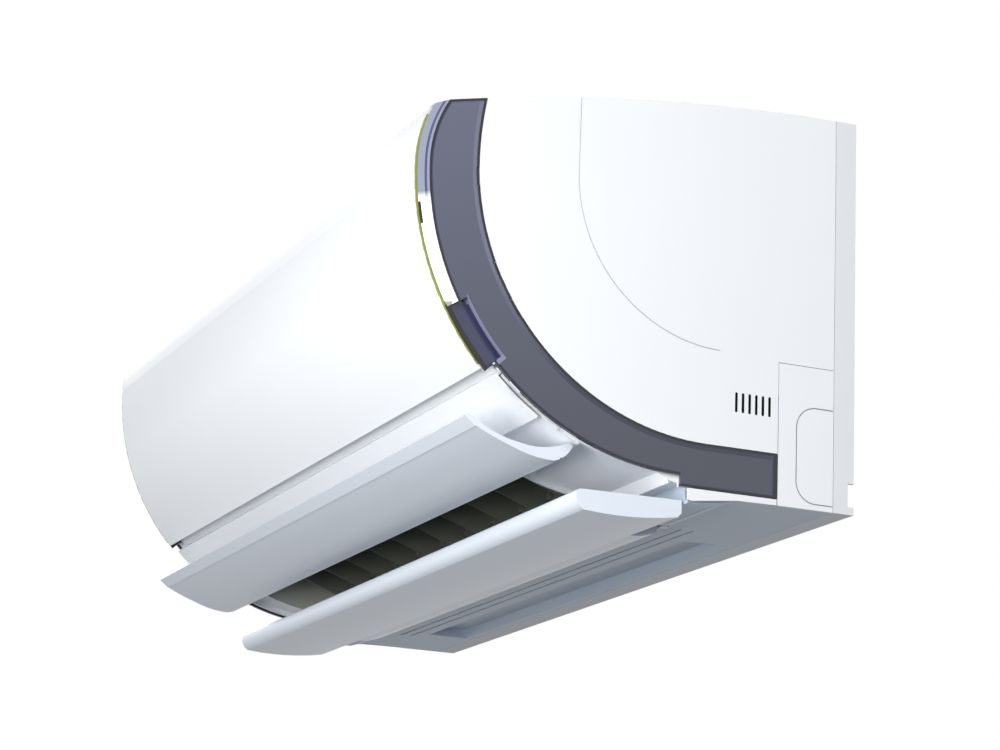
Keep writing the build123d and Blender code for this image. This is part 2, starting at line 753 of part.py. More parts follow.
def lower_flap():
    """Lower flap: a thick rounded bar with a tongue that carries its hinge pins."""
    bar = make_face(
        [
            Line(at(222.0, -4.5), at(140.0, -3.5)),
            Line(at(140.0, -3.5), at(140.0, -13.3)),
            Line(at(140.0, -13.3), at(143.0, -16.6)),
            ThreePointArc(at(143.0, -16.6), at(186.5, -20.9), at(219.0, -19.6)),
            ThreePointArc(at(219.0, -19.6), at(224.4, -14.2), at(225.0, -8.0)),
            ThreePointArc(at(225.0, -8.0), at(224.2, -5.6), at(222.0, -4.5)),
        ]
    )
    hollow = offset(bar, amount=-flap_wall)
    flap = run(bar, -lower_half, lower_half)
    flap -= run(hollow, flap_wall - lower_half, lower_half - flap_wall)
    tongue = outline(
        (141.0, -3.5), (117.5, -3.8), (115.5, -6.5), (117.0, -10.0), (128.0, -13.5),
        (140.0, -14.5), (140.0, -4.0),
    )
    flap += run(tongue, -tongue_half, tongue_half)
    knuckle = disc(*lower_pivot, 4.5) + outline(
        (lower_pivot_depth - 2.5, 4.0), (115.5, -8.0), (126.0, -8.0), (122.5, 4.0)
    )
    for sign in (-1, 1):
        ends = sorted((sign * (tongue_half - 6.0), sign * tongue_half))
        flap += run(knuckle, *ends)
        ends = sorted((sign * (tongue_half - 1.0), sign * (tongue_half + ear_wall + 5.0)))
        flap += pin(*lower_pivot, pin_radius, *ends)
    return flap


def flap_motor(pivot, x_from, lean, ears):
    """Small geared stepper with its shaft off centre and two fixing ears."""
    turn = math.radians(lean)
    centre = (
        pivot[0] + flap_motor_offset * math.cos(turn),
        pivot[1] + flap_motor_offset * math.sin(turn),
    )
    body = pin(*centre, flap_motor_radius, x_from, x_from + flap_motor_length)
    flange = disc(*centre, 3.0) + Pos(*at(*centre)) * SlotOverall(26.0, 6.0, rotation=ears)
    body += run(flange, x_from, x_from + 1.0)
    body += pin(*pivot, 4.0, x_from - hub_reach, x_from)
    return body - pin(*pivot, pin_radius + running, x_from - hub_reach - 1, x_from + 2.0)


# ---- louvers ---------------------------------------------------------------------------
arc_end = math.radians(scroll_from)
wall_top = (
    scroll_depth + scroll_radius * math.cos(arc_end),
    scroll_level + scroll_radius * math.sin(arc_end),
)
wall_run = math.hypot(floor_depth - wall_top[0], floor_level - wall_top[1])
down = ((floor_depth - wall_top[0]) / wall_run, (floor_level - wall_top[1]) / wall_run)
across = (-down[1], down[0])


def on_wall(along, out):
    """Depth and level of a point down the duct's rear wall and out from it."""
    return (
        wall_top[0] + down[0] * along + across[0] * out,
        wall_top[1] + down[1] * along + across[1] * out,
    )


def louver_axis():
    """Axis of the blades, square to the duct's rear wall."""
    return Vector(0, -across[0], across[1])


def axis_plane(x, along, out):
    y, z = at(*on_wall(along, out))
    return Plane(origin=(x, y, z), x_dir=(1, 0, 0), z_dir=louver_axis())


def louver_places():
    """Places of the blades across the duct."""
    first = (duct_left + duct_right) / 2 - (louver_count - 1) / 2 * louver_pitch
    return [first + index * louver_pitch for index in range(louver_count)]


def louver(x):
    """Upright blade with its stem and the crank pin that the link bar drives."""
    corners = [
        (louver_down - 14.0, louver_root),
        (louver_down - louver_back, louver_root + 5.0),
        (louver_down - louver_back, louver_root + 10.0),
        (louver_down - 6.0, 40.0),
        (louver_down - 2.0, louver_tip),
        (louver_down + louver_front - 6.0, louver_tip),
        (louver_down + louver_front, louver_tip - 8.0),
        (louver_down + louver_front, louver_root),
    ]
    section = outline(*[on_wall(*corner) for corner in corners])
    blade = run(section, x - louver_wall / 2, x + louver_wall / 2)
    stem = extrude(axis_plane(x, louver_down, 2.0) * Circle(stem_radius), louver_root - 1.5)
    neck = extrude(axis_plane(x, louver_down, rail_out) * Circle(4.0), louver_root - rail_out + 2.0)
    crank_pin = extrude(
        axis_plane(x, louver_down + crank, link_out - 1.0) * Circle(1.5), louver_root - link_out + 2.0
    )
    return blade + stem + neck + crank_pin


def louver_rail():
    """Rail on the duct's rear wall in which the blades' stems turn."""
    places = louver_places()
    section = outline(
        on_wall(louver_down - 6.0, 0.0),
        on_wall(louver_down - 6.0, rail_out - 0.4),
        on_wall(louver_down + 6.0, rail_out - 0.4),
        on_wall(louver_down + 6.0, 0.0),
    )
    rail = run(section, places[0] - 14.0, places[-1] + 14.0)
    for x in places:
        rail -= extrude(axis_plane(x, louver_down, 1.6) * Circle(stem_radius + running), 20)
    return rail


def link_section(extra=0.0):
    wide, thick = 4.5 + extra, link_wall / 2 + extra
    return outline(
        on_wall(louver_down + crank - wide, link_out - thick),
        on_wall(louver_down + crank - wide, link_out + thick),
        on_wall(louver_down + crank + wide, link_out + thick),
        on_wall(louver_down + crank + wide, link_out - thick),
    )


def louver_link():
    """Bar that turns all blades together, driven at its right end."""
    places = louver_places() + [crank_x]
    bar = run(link_section(), places[0] - 8.0, crank_x + 8.0)
    for x in places:
        slot = Rot(0, 0, 90) * SlotOverall(7.4, 3.8)
        bar -= extrude(axis_plane(x, louver_down + crank - 0.6, 0.0) * slot, 20)
    return bar


def louver_crank():
    """Crank that the louver motor turns, with its pin in the link bar."""
    hub = axis_plane(crank_x, louver_down, rail_out)
    rim = axis_plane(crank_x, louver_down + crank, rail_out)
    arm = extrude(hub * Circle(4.0), 2.2) + extrude(rim * Circle(3.0), 2.2)
    web = outline(
        on_wall(louver_down, rail_out),
        on_wall(louver_down + crank, rail_out),
        on_wall(louver_down + crank, rail_out + 2.2),
        on_wall(louver_down, rail_out + 2.2),
    )
    arm += run(web, crank_x - 2.5, crank_x + 2.5)
    drive = axis_plane(crank_x, louver_down + crank, link_out - 1.0)
    arm += extrude(drive * Circle(1.5), rail_out - link_out + 2.0)
    return arm + extrude(hub * Circle(stem_radius), 8.0)


def louver_motor():
    """Geared stepper of the louvers, on a tab from the duct's end wall."""
    centre = axis_plane(crank_x, louver_down - flap_motor_offset, rail_out + 5.0)
    body = extrude(centre * Circle(flap_motor_radius), flap_motor_length)
    shaft = axis_plane(crank_x, louver_down, rail_out + 2.8)
    body += extrude(shaft * Circle(4.2), 3.0)
    reach = crank_x - duct_right - wall
    tab = Pos(-reach / 2, 0) * Rectangle(reach, 12.0)
    body += extrude(centre * tab, 1.6)
    return body - extrude(shaft * Circle(stem_radius + running), 5.8)


# ---- fan and motor ---------------------------------------------------------------------
def blade_section():
    """One forward-curved blade, an arc of constant thickness between two radii."""
    outer, inner = fan_radius - 0.6, fan_radius - blade_chord
    bulge = blade_chord * 0.22
    middle = ((outer + inner) / 2, bulge)
    skew = blade_chord * 0.35
    tip, root = Vector(outer, skew), Vector(inner, -skew * 0.2)
    mid = Vector(*middle)
    shift = Vector(0, blade_wall)
    return make_face(
        [
            ThreePointArc(root, mid, tip),
            Line(tip, tip + shift),
            ThreePointArc(tip + shift, mid + shift, root + shift),
            Line(root + shift, root),
        ]
    )


def cross_flow_fan():
    """Drum of forward-curved blades between rings, closed at both ends."""
    place = Plane(origin=(fan_from, *at(fan_depth, fan_level)), x_dir=(0, -1, 0), z_dir=(1, 0, 0))
    blades = Sketch() + [
        Rot(0, 0, index * 360 / fan_blades) * blade_section() for index in range(fan_blades)
    ]
    drum = extrude(place * blades, fan_to - fan_from)
    span = (fan_to - fan_from - disc_wall) / fan_spans
    ring_face = Circle(fan_radius) - Circle(fan_radius - blade_chord - 3.0)
    for index in range(fan_spans + 1):
        start = place.offset(index * span)
        face = ring_face if 0 < index < fan_spans else Circle(fan_radius)
        drum += extrude(start * face, disc_wall)
    hub = pin(fan_depth, fan_level, 11.0, fan_to - 1.0, fan_to + 3.0)
    drum += hub
    drum -= pin(fan_depth, fan_level, shaft_radius, fan_to - 14.0, fan_to + 4.0)
    drum += pin(fan_depth, fan_level, 8.0, fan_from - 3.0, fan_from + 1.0)
    return drum - pin(fan_depth, fan_level, stub_radius, fan_from - 4.0, fan_from + disc_wall)


def fan_stub():
    """Steel stub shaft in the fan's left end."""
    start = duct_left - bearing_length
    return pin(fan_depth, fan_level, stub_radius, start + 1.0, fan_from + disc_wall)


def motor_shaft():
    return pin(fan_depth, fan_level, shaft_radius, fan_to - 14.0, motor_from + 6.0)


def fan_bearing():
    """Self-lubricating bush in its rubber seat, in the left end wall of the duct."""
    body = pin(fan_depth, fan_level, bearing_radius, duct_left - wall, duct_left + 0.5)
    body += pin(
        fan_depth, fan_level, bearing_radius + 3.0, duct_left - bearing_length, duct_left - wall
    )
    return body - pin(
        fan_depth, fan_level, stub_radius + running, duct_left - bearing_length - 1, duct_left + 2
    )


def fan_motor():
    """Resin-packed motor: drum, domed boss towards the fan and two rubber rings."""
    body = pin(fan_depth, fan_level, motor_radius, motor_from + 6.0, motor_from + motor_length - 6.0)
    body += pin(fan_depth, fan_level, 18.0, motor_from, motor_from + motor_length)
    bore = pin(fan_depth, fan_level, shaft_radius + running, motor_from - 1.0, motor_from + 7.0)
    return body - bore


def motor_mount():
    """Cradle that carries the motor on the chassis floor, and its strap."""
    radius = motor_radius
    strap = disc(fan_depth, fan_level, radius + 3.0) - disc(fan_depth, fan_level, radius)
    foot = block(fan_depth - 78.0, fan_depth - 30.0, band_foot + 7.5, fan_level - 18.0)
    foot -= disc(fan_depth, fan_level, radius + 1.0)
    start = motor_from + motor_length - 16.0
    return run(strap, start, start + 9.0) + run(foot, start, start + 9.0)


# ---- heat exchanger ----------------------------------------------------------------------
def coil_frame(start, end):
    """Plane across a slab of fins at its start, and the slab's length."""
    y, z = at(*start)
    length = math.hypot(end[0] - start[0], end[1] - start[1])
    aim = Vector(0, -(end[0] - start[0]), end[1] - start[1])
    return Plane(origin=(0, y, z), x_dir=(1, 0, 0), z_dir=aim), length


def coil_slab(start, end):
    """Stack of fins drawn as a comb on both faces, extruded along the slab."""
    pitch = (coil_right - coil_left - fin_wall) / (fin_count - 1)
    outer = coil_thickness / 2
    inner = outer - fin_cut
    upper = []
    for index in range(fin_count):
        x = coil_left + index * pitch
        upper += [(x, outer), (x + fin_wall, outer)]
        if index < fin_count - 1:
            upper += [(x + fin_wall, inner), (x + pitch, inner)]
    lower = [(x, -y) for x, y in reversed(upper)]
    plane, length = coil_frame(start, end)
    return extrude(plane * make_face(Polyline(*upper, *lower, close=True)), length)


def coil_bends():
    """Copper return bends at the left end, two tubes to a bend."""
    bends = []
    start_x = coil_left - sheet
    for start, end in coil_lines.values():
        plane, length = coil_frame(start, end)
        count = int(length // (2 * tube_pitch)) + 1
        first = (length - (2 * count - 1) * tube_pitch) / 2
        for index in range(count):
            centre = first + (2 * index + 0.5) * tube_pitch
            at_bend = plane.offset(centre).location
            section = Location((start_x, 0, -tube_pitch / 2)) * (Rot(0, 90, 0) * Circle(tube_radius))
            turn = revolve(section, Axis((start_x, 0, 0), (0, 1, 0)), 180)
            bends.append(at_bend * turn)
    return Part() + bends


def coil_plate():
    """End plate that ties the three slabs and screws to the chassis."""
    outer = coil_thickness / 2 + 2.0
    plate = None
    for start, end in coil_lines.values():
        ux, uz = end[0] - start[0], end[1] - start[1]
        length = math.hypot(ux, uz)
        ux, uz = ux / length, uz / length
        corners = [
            (start[0] - uz * outer, start[1] + ux * outer),
            (end[0] - uz * outer, end[1] + ux * outer),
            (end[0] + uz * outer, end[1] - ux * outer),
            (start[0] + uz * outer, start[1] - ux * outer),
        ]
        plate = outline(*corners) if plate is None else plate + outline(*corners)
    plate += outline((208.0, 272.0), (240.0, 274.0), (240.0, 246.0), (208.0, 246.0))
    plate += outline((296.0, 196.0), (330.0, 180.0), (326.0, 212.0), (306.0, 214.0))
    plate += block(plate_reach + 1.5 + wall, 100.0, 193.0, 205.0)
    return plate


def drain_pan():
    """Front pan under the coil, with its channel to the back and the drain spigot."""
    rim = [(256.0, 100.0), (253.5, 100.0), (254.5, 82.0), (262.0, 76.5), (280.0, 76.0)]
    rim += [(292.0, 84.0), (297.5, 101.0)]
    floor = [(295.0, 101.0), (289.8, 86.0), (279.0, 78.8), (263.0, 79.2), (257.2, 83.5)]
    trough = run(outline(*rim, *floor), pan_left, pan_right)
    cap = outline(*rim)
    mouth_in = polar(front_radius - strip_inset - wall, strip_to - 0.8)
    top = (stabilizer_depth + 6.0, stabilizer_level + 4.0)
    fall = (mouth_in[1] - top[1]) / (mouth_in[0] - top[0])
    high, low = top[1] + fall * (248.0 - top[0]), top[1] + fall * (252.0 - top[0])
    foot = outline((255.5, 82.5), (262.0, 77.5), (252.0, low), (248.0, high))
    for x in (-300.0, -130.0, 40.0, 210.0):
        trough += run(foot, x, x + 3.0)
    trough += run(cap, pan_right, pan_right + wall)
    trough += run(cap, pan_left - wall, pan_left)
    channel_outer = outline((260.0, 92.0), (64.0, 48.0), (64.0, 24.0), (260.0, 78.0))
    channel_inner = outline((266.0, 96.0), (67.0, 52.0), (67.0, 27.5), (266.0, 80.5))
    channel = run(channel_outer, drain_x - 12.0, drain_x + 12.0)
    channel -= run(channel_inner, drain_x - 9.5, drain_x + 9.5)
    channel -= run(cap, pan_left - wall, half)
    y, z = at(bay_depth, drain_level)
    spigot = Pos(drain_x, y + 2.0, z) * Rot(90, 0, 0) * Cylinder(9.0, 24.0)
    bore = Pos(drain_x, y, z) * Rot(90, 0, 0) * Cylinder(6.5, 40.0)
    return trough + ((channel + spigot) - bore)


# ---- filters ------------------------------------------------------------------------------
def air_filter(x_from, x_to):
    """Curved filter: a frame with ribs and a thin mesh between them."""
    outer, inner = filter_inset, filter_inset + 2.0
    reach = block(filter_back, far, filter_foot, far)
    frame = (envelope(outer, outer) - envelope(inner, inner)) & reach
    mesh = (envelope(outer + 0.7, outer + 0.7) - envelope(inner - 0.7, inner - 0.7)) & reach
    piece = run(frame, x_from, x_to)
    window = 0.5 * (x_to - x_from - 3 * filter_border)
    openings = []
    for index in range(2):
        x = x_from + filter_border + index * (window + filter_border)
        for region in (
            block(filter_back + 8.0, filter_back + 58.0, front_level, far),
            block(filter_back + 66.0, filter_back + 120.0, front_level + 26.0, far),
            block(filter_back + 124.0, far, front_level - 26.0, front_level + 30.0),
            block(filter_back + 94.0, far, filter_foot + 10.0, front_level - 34.0),
        ):
            openings.append(run(region & frame, x, x + window))
    piece -= openings
    return piece + run(mesh, x_from + 1.0, x_to - 1.0)


# ---- electrics -----------------------------------------------------------------------------
def control_box():
    """Moulded box for the electronics, open to the front."""
    outer = block(control_back, box_front, box_low, box_high)
    inner = block(control_back + wall, box_front + 1, box_low + wall, box_high - wall)
    box = run(outer, box_left, box_right) - run(inner, box_left + wall, box_right - wall)
    for x in (box_left + 12, box_right - 12):
        for level in (box_low + 14, box_high - 14):
            y, z = at(board_depth / 2 + (control_back + wall) / 2, level)
            post = Pos(x, y, z) * Rot(90, 0, 0) * Cylinder(3.0, board_depth - control_back - wall)
            box += post
    return box


def control_lid():
    """Lid that drops over the box's open front."""
    lid = block(box_front, box_front + wall, box_low - 1.0, box_high + 1.0)
    piece = run(lid, box_left - 1.0, box_right + 1.0)
    inner = block(box_front - 5.0, box_front, box_low + wall + 0.3, box_high - wall - 0.3)
    bead = run(inner, box_left + wall + 0.3, box_right - wall - 0.3)
    bead -= run(
        block(box_front - 6.0, box_front, box_low + 2 * wall, box_high - 2 * wall),
        box_left + 2 * wall,
        box_right - 2 * wall,
    )
    return piece + bead


def main_board():
    """Circuit board with its capacitors, relay, transformer and connectors."""
    board = run(
        block(board_depth, board_depth + board_wall, box_low + 6, box_high - 6),
        box_left + 6,
        box_right - 6,
    )
    face = board_depth + board_wall

    def can(x, level, radius, tall):
        y, z = at(face + tall / 2, level)
        return Pos(x, y, z) * Rot(90, 0, 0) * Cylinder(radius, tall)

    def case(x, level, wide, high, tall):
        y, z = at(face + tall / 2, level)
        return Pos(x, y, z) * Box(wide, tall, high)

    board += can(box_left + 24, box_high - 26, radius=9, tall=26)
    board += can(box_left + 46, box_high - 24, radius=6, tall=18)
    board += can(box_right - 22, box_low + 38, radius=7, tall=14)
    board += case(box_right - 34, box_high - 30, wide=22, high=16, tall=15)  # power relay
    board += case(box_left + 30, box_low + 64, wide=24, high=18, tall=12)
    board += case(box_right - 36, box_low + 70, wide=16, high=22, tall=20)  # transformer
    for x in (box_left + 24, box_left + 48):
        board += case(x, box_low + 28, wide=18, high=8, tall=9)
    return board + case(box_left + 58, box_low + 10, wide=30, high=6, tall=7)


def terminal_block():
    """Screw terminals for the field wiring, beside the control box's foot."""
    middle = control_back + 43.0
    base = block(middle - 13.0, middle + 13.0, box_low - 12.0, box_low)
    piece = run(base, terminal_left, terminal_left + terminal_count * terminal_pitch)
    for index in range(terminal_count):
        x = terminal_left + (index + 0.5) * terminal_pitch
        y, z = at(middle, box_low - 12.0)
        piece -= Pos(x, y, z) * Box(13.0, 20.0, 10.0)
        piece += Pos(x, y, z + 3.5) * Cylinder(3.6, 3.4)
    return piece


def receiver():
    """Signal receiver and indicator housing on the control box's lid."""
    back = box_front + wall
    shell = block(back, back + 12.0, button_level - 12, button_level + 12)
    body = run(shell, receiver_left, receiver_right)
    hollow = block(back - 1.0, back + 10.0, button_level - 10, button_level + 10)
    body -= run(hollow, receiver_left + 2, receiver_right - 2)
    y, z = at(back + 11.0, button_level)
    body -= Pos(button_x, y, z) * Rot(90, 0, 0) * Cylinder(button_radius + 0.1, 10.0)
    body -= Pos(lens_x, y, z) * Box(lens_width, 6.0, 9.0)
    return body


def receiver_lens():
    back = box_front + wall
    y, z = at(back + 11.0, button_level)
    lens = Pos(lens_x, y, z) * Box(lens_width, 2.6, 9.0)
    y, z = at(back + 8.9, button_level)
    return lens + Pos(lens_x, y, z) * Box(lens_width + 4, 1.8, 12.0)


def test_button():
    """Emergency run button, sliding in the receiver's face."""
    back = box_front + wall
    y, z = at(back + 10.6, button_level)
    cap = Pos(button_x, y, z) * Rot(90, 0, 0) * Cylinder(button_radius, 6.8)
    y, z = at(back + 9.3, button_level)
    flange = Pos(button_x, y, z) * Rot(90, 0, 0) * Cylinder(button_radius + 1.5, 1.4)
    stem = 8.2 - button_travel  # clears the lid when the button is pressed home
    y, z = at(back + 8.5 - stem / 2, button_level)
    return cap + flange + Pos(button_x, y, z) * Rot(90, 0, 0) * Cylinder(1.4, stem)


# ---- pipes ------------------------------------------------------------------------------
def pipe(radius, level, side_x, end_x, top):
    """Copper pipe from the coil's right end down into the pipe bay, then to the left."""
    points = [
        (coil_right + sheet, *top),
        (side_x, *top),
        (side_x, pipe_depth + 40.0, level),
        (side_x, pipe_depth, level),
        (end_x, pipe_depth, level),
    ]
    places = [Vector(x, *at(depth, height)) for x, depth, height in points]
    path = FilletPolyline(*places, radius=pipe_bend)
    start = Plane(origin=places[0], z_dir=(1, 0, 0))
    return sweep(start * Circle(radius), path=path)


def pipe_union(radius, pipe_radius, level, depth, end_x):
    """Flare union with its hexagon and threaded nose."""
    y, z = at(depth, level)
    nose = Pos(end_x - union_length / 2, y, z) * Rot(0, 90, 0) * Cylinder(radius, union_length)
    hexagon = Plane.YZ.offset(end_x) * (Pos(y, z) * RegularPolygon(radius * 1.35, 6))
    body = nose + extrude(hexagon, 12.0, dir=(1, 0, 0))
    return body - pin(depth, level, pipe_radius, end_x, end_x + 13.0)


def pipe_clip():
    """Clip that holds both pipes to the pipe bay's wall."""
    body = block(pipe_depth - 4.0, bay_depth, 20.0, 62.0)
    clip = run(body, 248.0, 258.0)
    clip -= pin(pipe_depth, gas_level, gas_radius, 240.0, 270.0)
    return clip - pin(pipe_depth, liquid_level, liquid_radius, 240.0, 270.0)


# ---- wall plate ---------------------------------------------------------------------------
def wall_plate():
    """Pressed steel plate: flat sheet, turned rails, hooks above and catches below."""
    low, high = plate_foot, plate_top
    edge = plate_width / 2
    plate = run(block(0, sheet, low, high), -edge, edge)
    for level in (low, high - sheet):
        plate += run(block(0, plate_reach, level, level + sheet), 20 - edge, edge - 20)
    for x in (-edge, edge - sheet):
        plate += run(block(0, plate_reach * 0.6, low + 20, high - 20), x, x + sheet)
    for level in (low + 62.0, high - 62.0):
        rib = outline(
            (0, level - 9.0), (rib_rise, level - 5.0), (rib_rise, level + 5.0), (0, level + 9.0)
        )
        inside = rib_rise - sheet
        rib -= outline(
            (-1, level - 8.5 + sheet), (inside, level - 4.6),
            (inside, level + 4.6), (-1, level + 8.5 - sheet),
        )
        plate -= run(block(-1, sheet + 1, level - 8.8, level + 8.8), -rib_half, rib_half)
        plate += run(rib & block(0, 10, 0, far), -rib_half, rib_half)
    for sign in (-1, 1):
        ends = sorted((sign * (hook_x - hook_width / 2), sign * (hook_x + hook_width / 2)))
        hook = block(plate_reach - sheet, plate_reach + 5.2, high - sheet, high)
        hook += block(plate_reach + 4.0, plate_reach + 5.2, high - sheet, high + 5.0)
        plate += run(hook, *ends)
    holes = []
    for x in (-screw_pitch_x / 2, screw_pitch_x / 2):
        for z in (-screw_pitch_z / 2, screw_pitch_z / 2):
            holes.append(Pos(x, 0, z) * Rot(90, 0, 0) * Cylinder(screw_radius, 20))
    for x in (-120.0, 120.0):
        holes.append(Pos(x, 0, 0) * Rot(90, 0, 0) * Cylinder(12.0, 20))
    for x in (-280.0, 280.0):
        holes.append(Pos(x, 0, 0) * Rot(90, 0, 0) * Cylinder(16.0, 20))
    return plate - holes


def screw_caps():
    """Round caps over the two screws that hold the bottom cover."""
    caps = []
    for x in (-cap_x, cap_x):
        y, z = at(cap_depth, cap_level)
        caps.append(Pos(x, y, z - 0.7) * Cylinder(cap_radius, 1.4))
    return Part() + caps


def coil_ends(x_from, x_to):
    return run(coil_plate(), x_from, x_to)


def pieces():
    """Every sub-part by its node's name."""
    right_casing = side_casing() - vents()
    band, cover = side_band(), corner_cover()
    made = {
        "wall_plate": wall_plate(),
        "rear_chassis": rear_chassis(),
        "side_casing_right": right_casing,
        "side_casing_left": mirrored(side_casing()),
        "side_band_right": band,
        "side_band_left": mirrored(band),
        "corner_cover_right": cover,
        "corner_cover_left": mirrored(cover),
        "top_grille": top_grille(),
        "front_panel": front_panel(),
        "outlet_frame": outlet_frame(),
        "bottom_cover": bottom_cover(),
        "upper_flap": upper_flap(),
        "lower_flap": lower_flap(),
        "upper_flap_motor": flap_motor(upper_pivot, duct_right + wall + hub_reach, 100.0, 20.0),
        "lower_flap_motor": flap_motor(lower_pivot, lug_x + ear_wall + hub_reach, 90.0, 0.0),
        "louver_rail": louver_rail(),
        "louver_link": louver_link(),
        "louver_crank": louver_crank(),
        "louver_motor": louver_motor(),
        "cross_flow_fan": cross_flow_fan(),
        "fan_stub_shaft": fan_stub(),
        "fan_bearing": fan_bearing(),
        "fan_motor": fan_motor(),
        "motor_shaft": motor_shaft(),
        "motor_mount": motor_mount(),
        "coil_bends": coil_bends(),
        "coil_plate_left": coil_ends(coil_left - sheet, coil_left),
        "coil_plate_right": coil_ends(coil_right, coil_right + sheet),
        "drain_pan": drain_pan(),
        "air_filter_left": air_filter(-filter_outer_x, -filter_inner_x),
        "air_filter_right": air_filter(
            filter_gap - filter_inner_x, filter_outer_x + filter_gap - 2 * filter_inner_x
        ),
        "control_box": control_box(),
        "control_lid": control_lid(),
        "main_board": main_board(),
        "terminal_block": terminal_block(),
        "receiver_housing": receiver(),
        "receiver_lens": receiver_lens(),
        "test_button": test_button(),
        "gas_pipe": pipe(gas_radius, gas_level, gas_x, gas_end, gas_start),
        "liquid_pipe": pipe(liquid_radius, liquid_level, liquid_x, liquid_end, liquid_start),
        "gas_union": pipe_union(gas_union_radius, gas_radius, gas_level, pipe_depth, gas_end),
        "liquid_union": pipe_union(
            liquid_union_radius, liquid_radius, liquid_level, pipe_depth, liquid_end
        ),
        "pipe_clip": pipe_clip(),
        "screw_caps": screw_caps(),
    }
    for name, (start, end) in coil_lines.items():
        made[name] = coil_slab(start, end)
    for index, x in enumerate(louver_places(), start=1):
        made[f"louver_{index:02d}"] = louver(x)
    return made


os.makedirs("parts", exist_ok=True)
for name, solid in pieces().items():
    export_step(solid, f"parts/{name}.step")
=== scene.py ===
# %% [markdown]
# # A wall-mounted mini split indoor unit, seen from below its right end
#
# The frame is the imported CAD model. It has every wall, flap, louver and screw cap of
# the real cabinet, so this lesson is mostly about what moulded plastic, smoked acrylic
# and folded metal look like. Small trims that are too thin for the CAD model are
# modelled here. Could the cabinet be modelled again in Blender? Yes, but then two
# shapes would have to agree. Dressing the CAD solids keeps one truth.

import json
import math

import bmesh
import bpy
from mathutils import Matrix, Vector


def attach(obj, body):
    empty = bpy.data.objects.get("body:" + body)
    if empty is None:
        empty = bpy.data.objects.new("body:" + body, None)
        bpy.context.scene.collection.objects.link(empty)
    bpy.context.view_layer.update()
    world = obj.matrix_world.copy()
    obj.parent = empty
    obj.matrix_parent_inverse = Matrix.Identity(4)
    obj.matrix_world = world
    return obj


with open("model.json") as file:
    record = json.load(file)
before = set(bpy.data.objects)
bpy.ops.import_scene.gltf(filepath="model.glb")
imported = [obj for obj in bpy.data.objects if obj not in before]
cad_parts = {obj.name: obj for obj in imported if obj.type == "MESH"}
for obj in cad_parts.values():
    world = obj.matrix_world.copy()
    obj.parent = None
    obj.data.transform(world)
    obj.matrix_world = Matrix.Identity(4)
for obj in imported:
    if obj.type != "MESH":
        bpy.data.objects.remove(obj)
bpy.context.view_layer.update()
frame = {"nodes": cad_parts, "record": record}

# %% [markdown]
# ## Places and sides
# A unit like this is measured from what it is built against: depth from the wall and
# level above its underside, both in millimetres. The scene is in metres, with the wall
# at zero and depth running towards the viewer, so one function turns the first into
# the second. Every trim that is made here exists once on each side.

# %% Places
MM = 0.001
UNDERSIDE = -190.0  # the cabinet's underside in the frame, mm
SIDES = ((1, "right"), (-1, "left"))


def point(depth, level, across=0.0):
    """Place in metres, from depth, level and distance from the middle in millimetres."""
    return (across * MM, -depth * MM, (level + UNDERSIDE) * MM)


print("200 mm from the wall and 100 mm up is", [round(v, 3) for v in point(200.0, 100.0)])

# %% [markdown]
# ## Colours
# A colour picked from a swatch is an sRGB hex code, and Blender's sockets want linear
# light. One function turns the first into the second, so every colour below can be
# read as a swatch: most are those a plastics maker would hold beside the part, and a
# few carry painted light or shade.

# %% Colours
def linear(swatch, deepen=0.0):
    """Linear colour of a hex swatch, made deeper by a share, with an alpha of one."""
    parts = [int(swatch[i : i + 2], 16) / 255 for i in (1, 3, 5)]
    light = [p / 12.92 if p <= 0.04045 else ((p + 0.055) / 1.055) ** 2.4 for p in parts]
    return (*(value * (1 - deepen) for value in light), 1.0)


print("middle grey is", round(linear("#808080")[0], 3), "in linear light")

# %% [markdown]
# ## Nodes
# A material is a small graph of nodes. One function fills a node's inputs, whether with
# links, numbers or swatches, and one adds a node with its settings and inputs. Patterns
# are placed by object coordinates. All pieces of the cabinet have one origin, so a
# pattern runs on from one piece to the next.

# %% Node helpers
def feed(tree, node, inputs):
    """Fills inputs: a node or socket is linked, and a swatch becomes a linear colour."""
    for socket, value in inputs.items():
        if isinstance(value, bpy.types.Node):
            value = next(output for output in value.outputs if output.enabled)
        if isinstance(value, bpy.types.NodeSocket):
            tree.links.new(value, node.inputs[socket])
        elif isinstance(value, str):
            node.inputs[socket].default_value = linear(value)
        else:
            node.inputs[socket].default_value = value


def add(tree, kind, inputs=None, **settings):
    """Adds a node with its settings and inputs."""
    made = tree.nodes.new("ShaderNode" + kind)
    for name, value in settings.items():
        setattr(made, name, value)
    feed(tree, made, inputs or {})
    return made


def new_material(name, **constants):
    """Material with its node tree and shader, whose constant inputs are set here."""
    made = bpy.data.materials.new(name)
    made.use_nodes = True
    shader = made.node_tree.nodes["Principled BSDF"]
    for socket, value in constants.items():
        shader.inputs[socket.replace("_", " ")].default_value = value
    return made, made.node_tree, shader


def position(tree):
    """Place on the object in metres, the same for every piece of the cabinet."""
    return add(tree, "TexCoord").outputs["Object"]


print("helpers for nodes: feed, add, new_material, position")

# %% [markdown]
# ## Moulded plastic
# ABS and polystyrene leave the mould with the mould's own finish. A polished mould
# gives the panel a soft mirror, and a spark-eroded one gives the casing a fine grain
# about 0.4 mm across. Resin also cools unevenly, so a large panel is never perfectly
# flat: the slow swell here is 90 mm long and far lower than a sheet of paper is thick.
# One function makes them all, because the machine is the same and the mould differs.

# %% Plastic materials
SWELL_LENGTH = 90.0  # mm
GLOSS_SPREAD = 0.15  # share by which the roughness varies with the grain


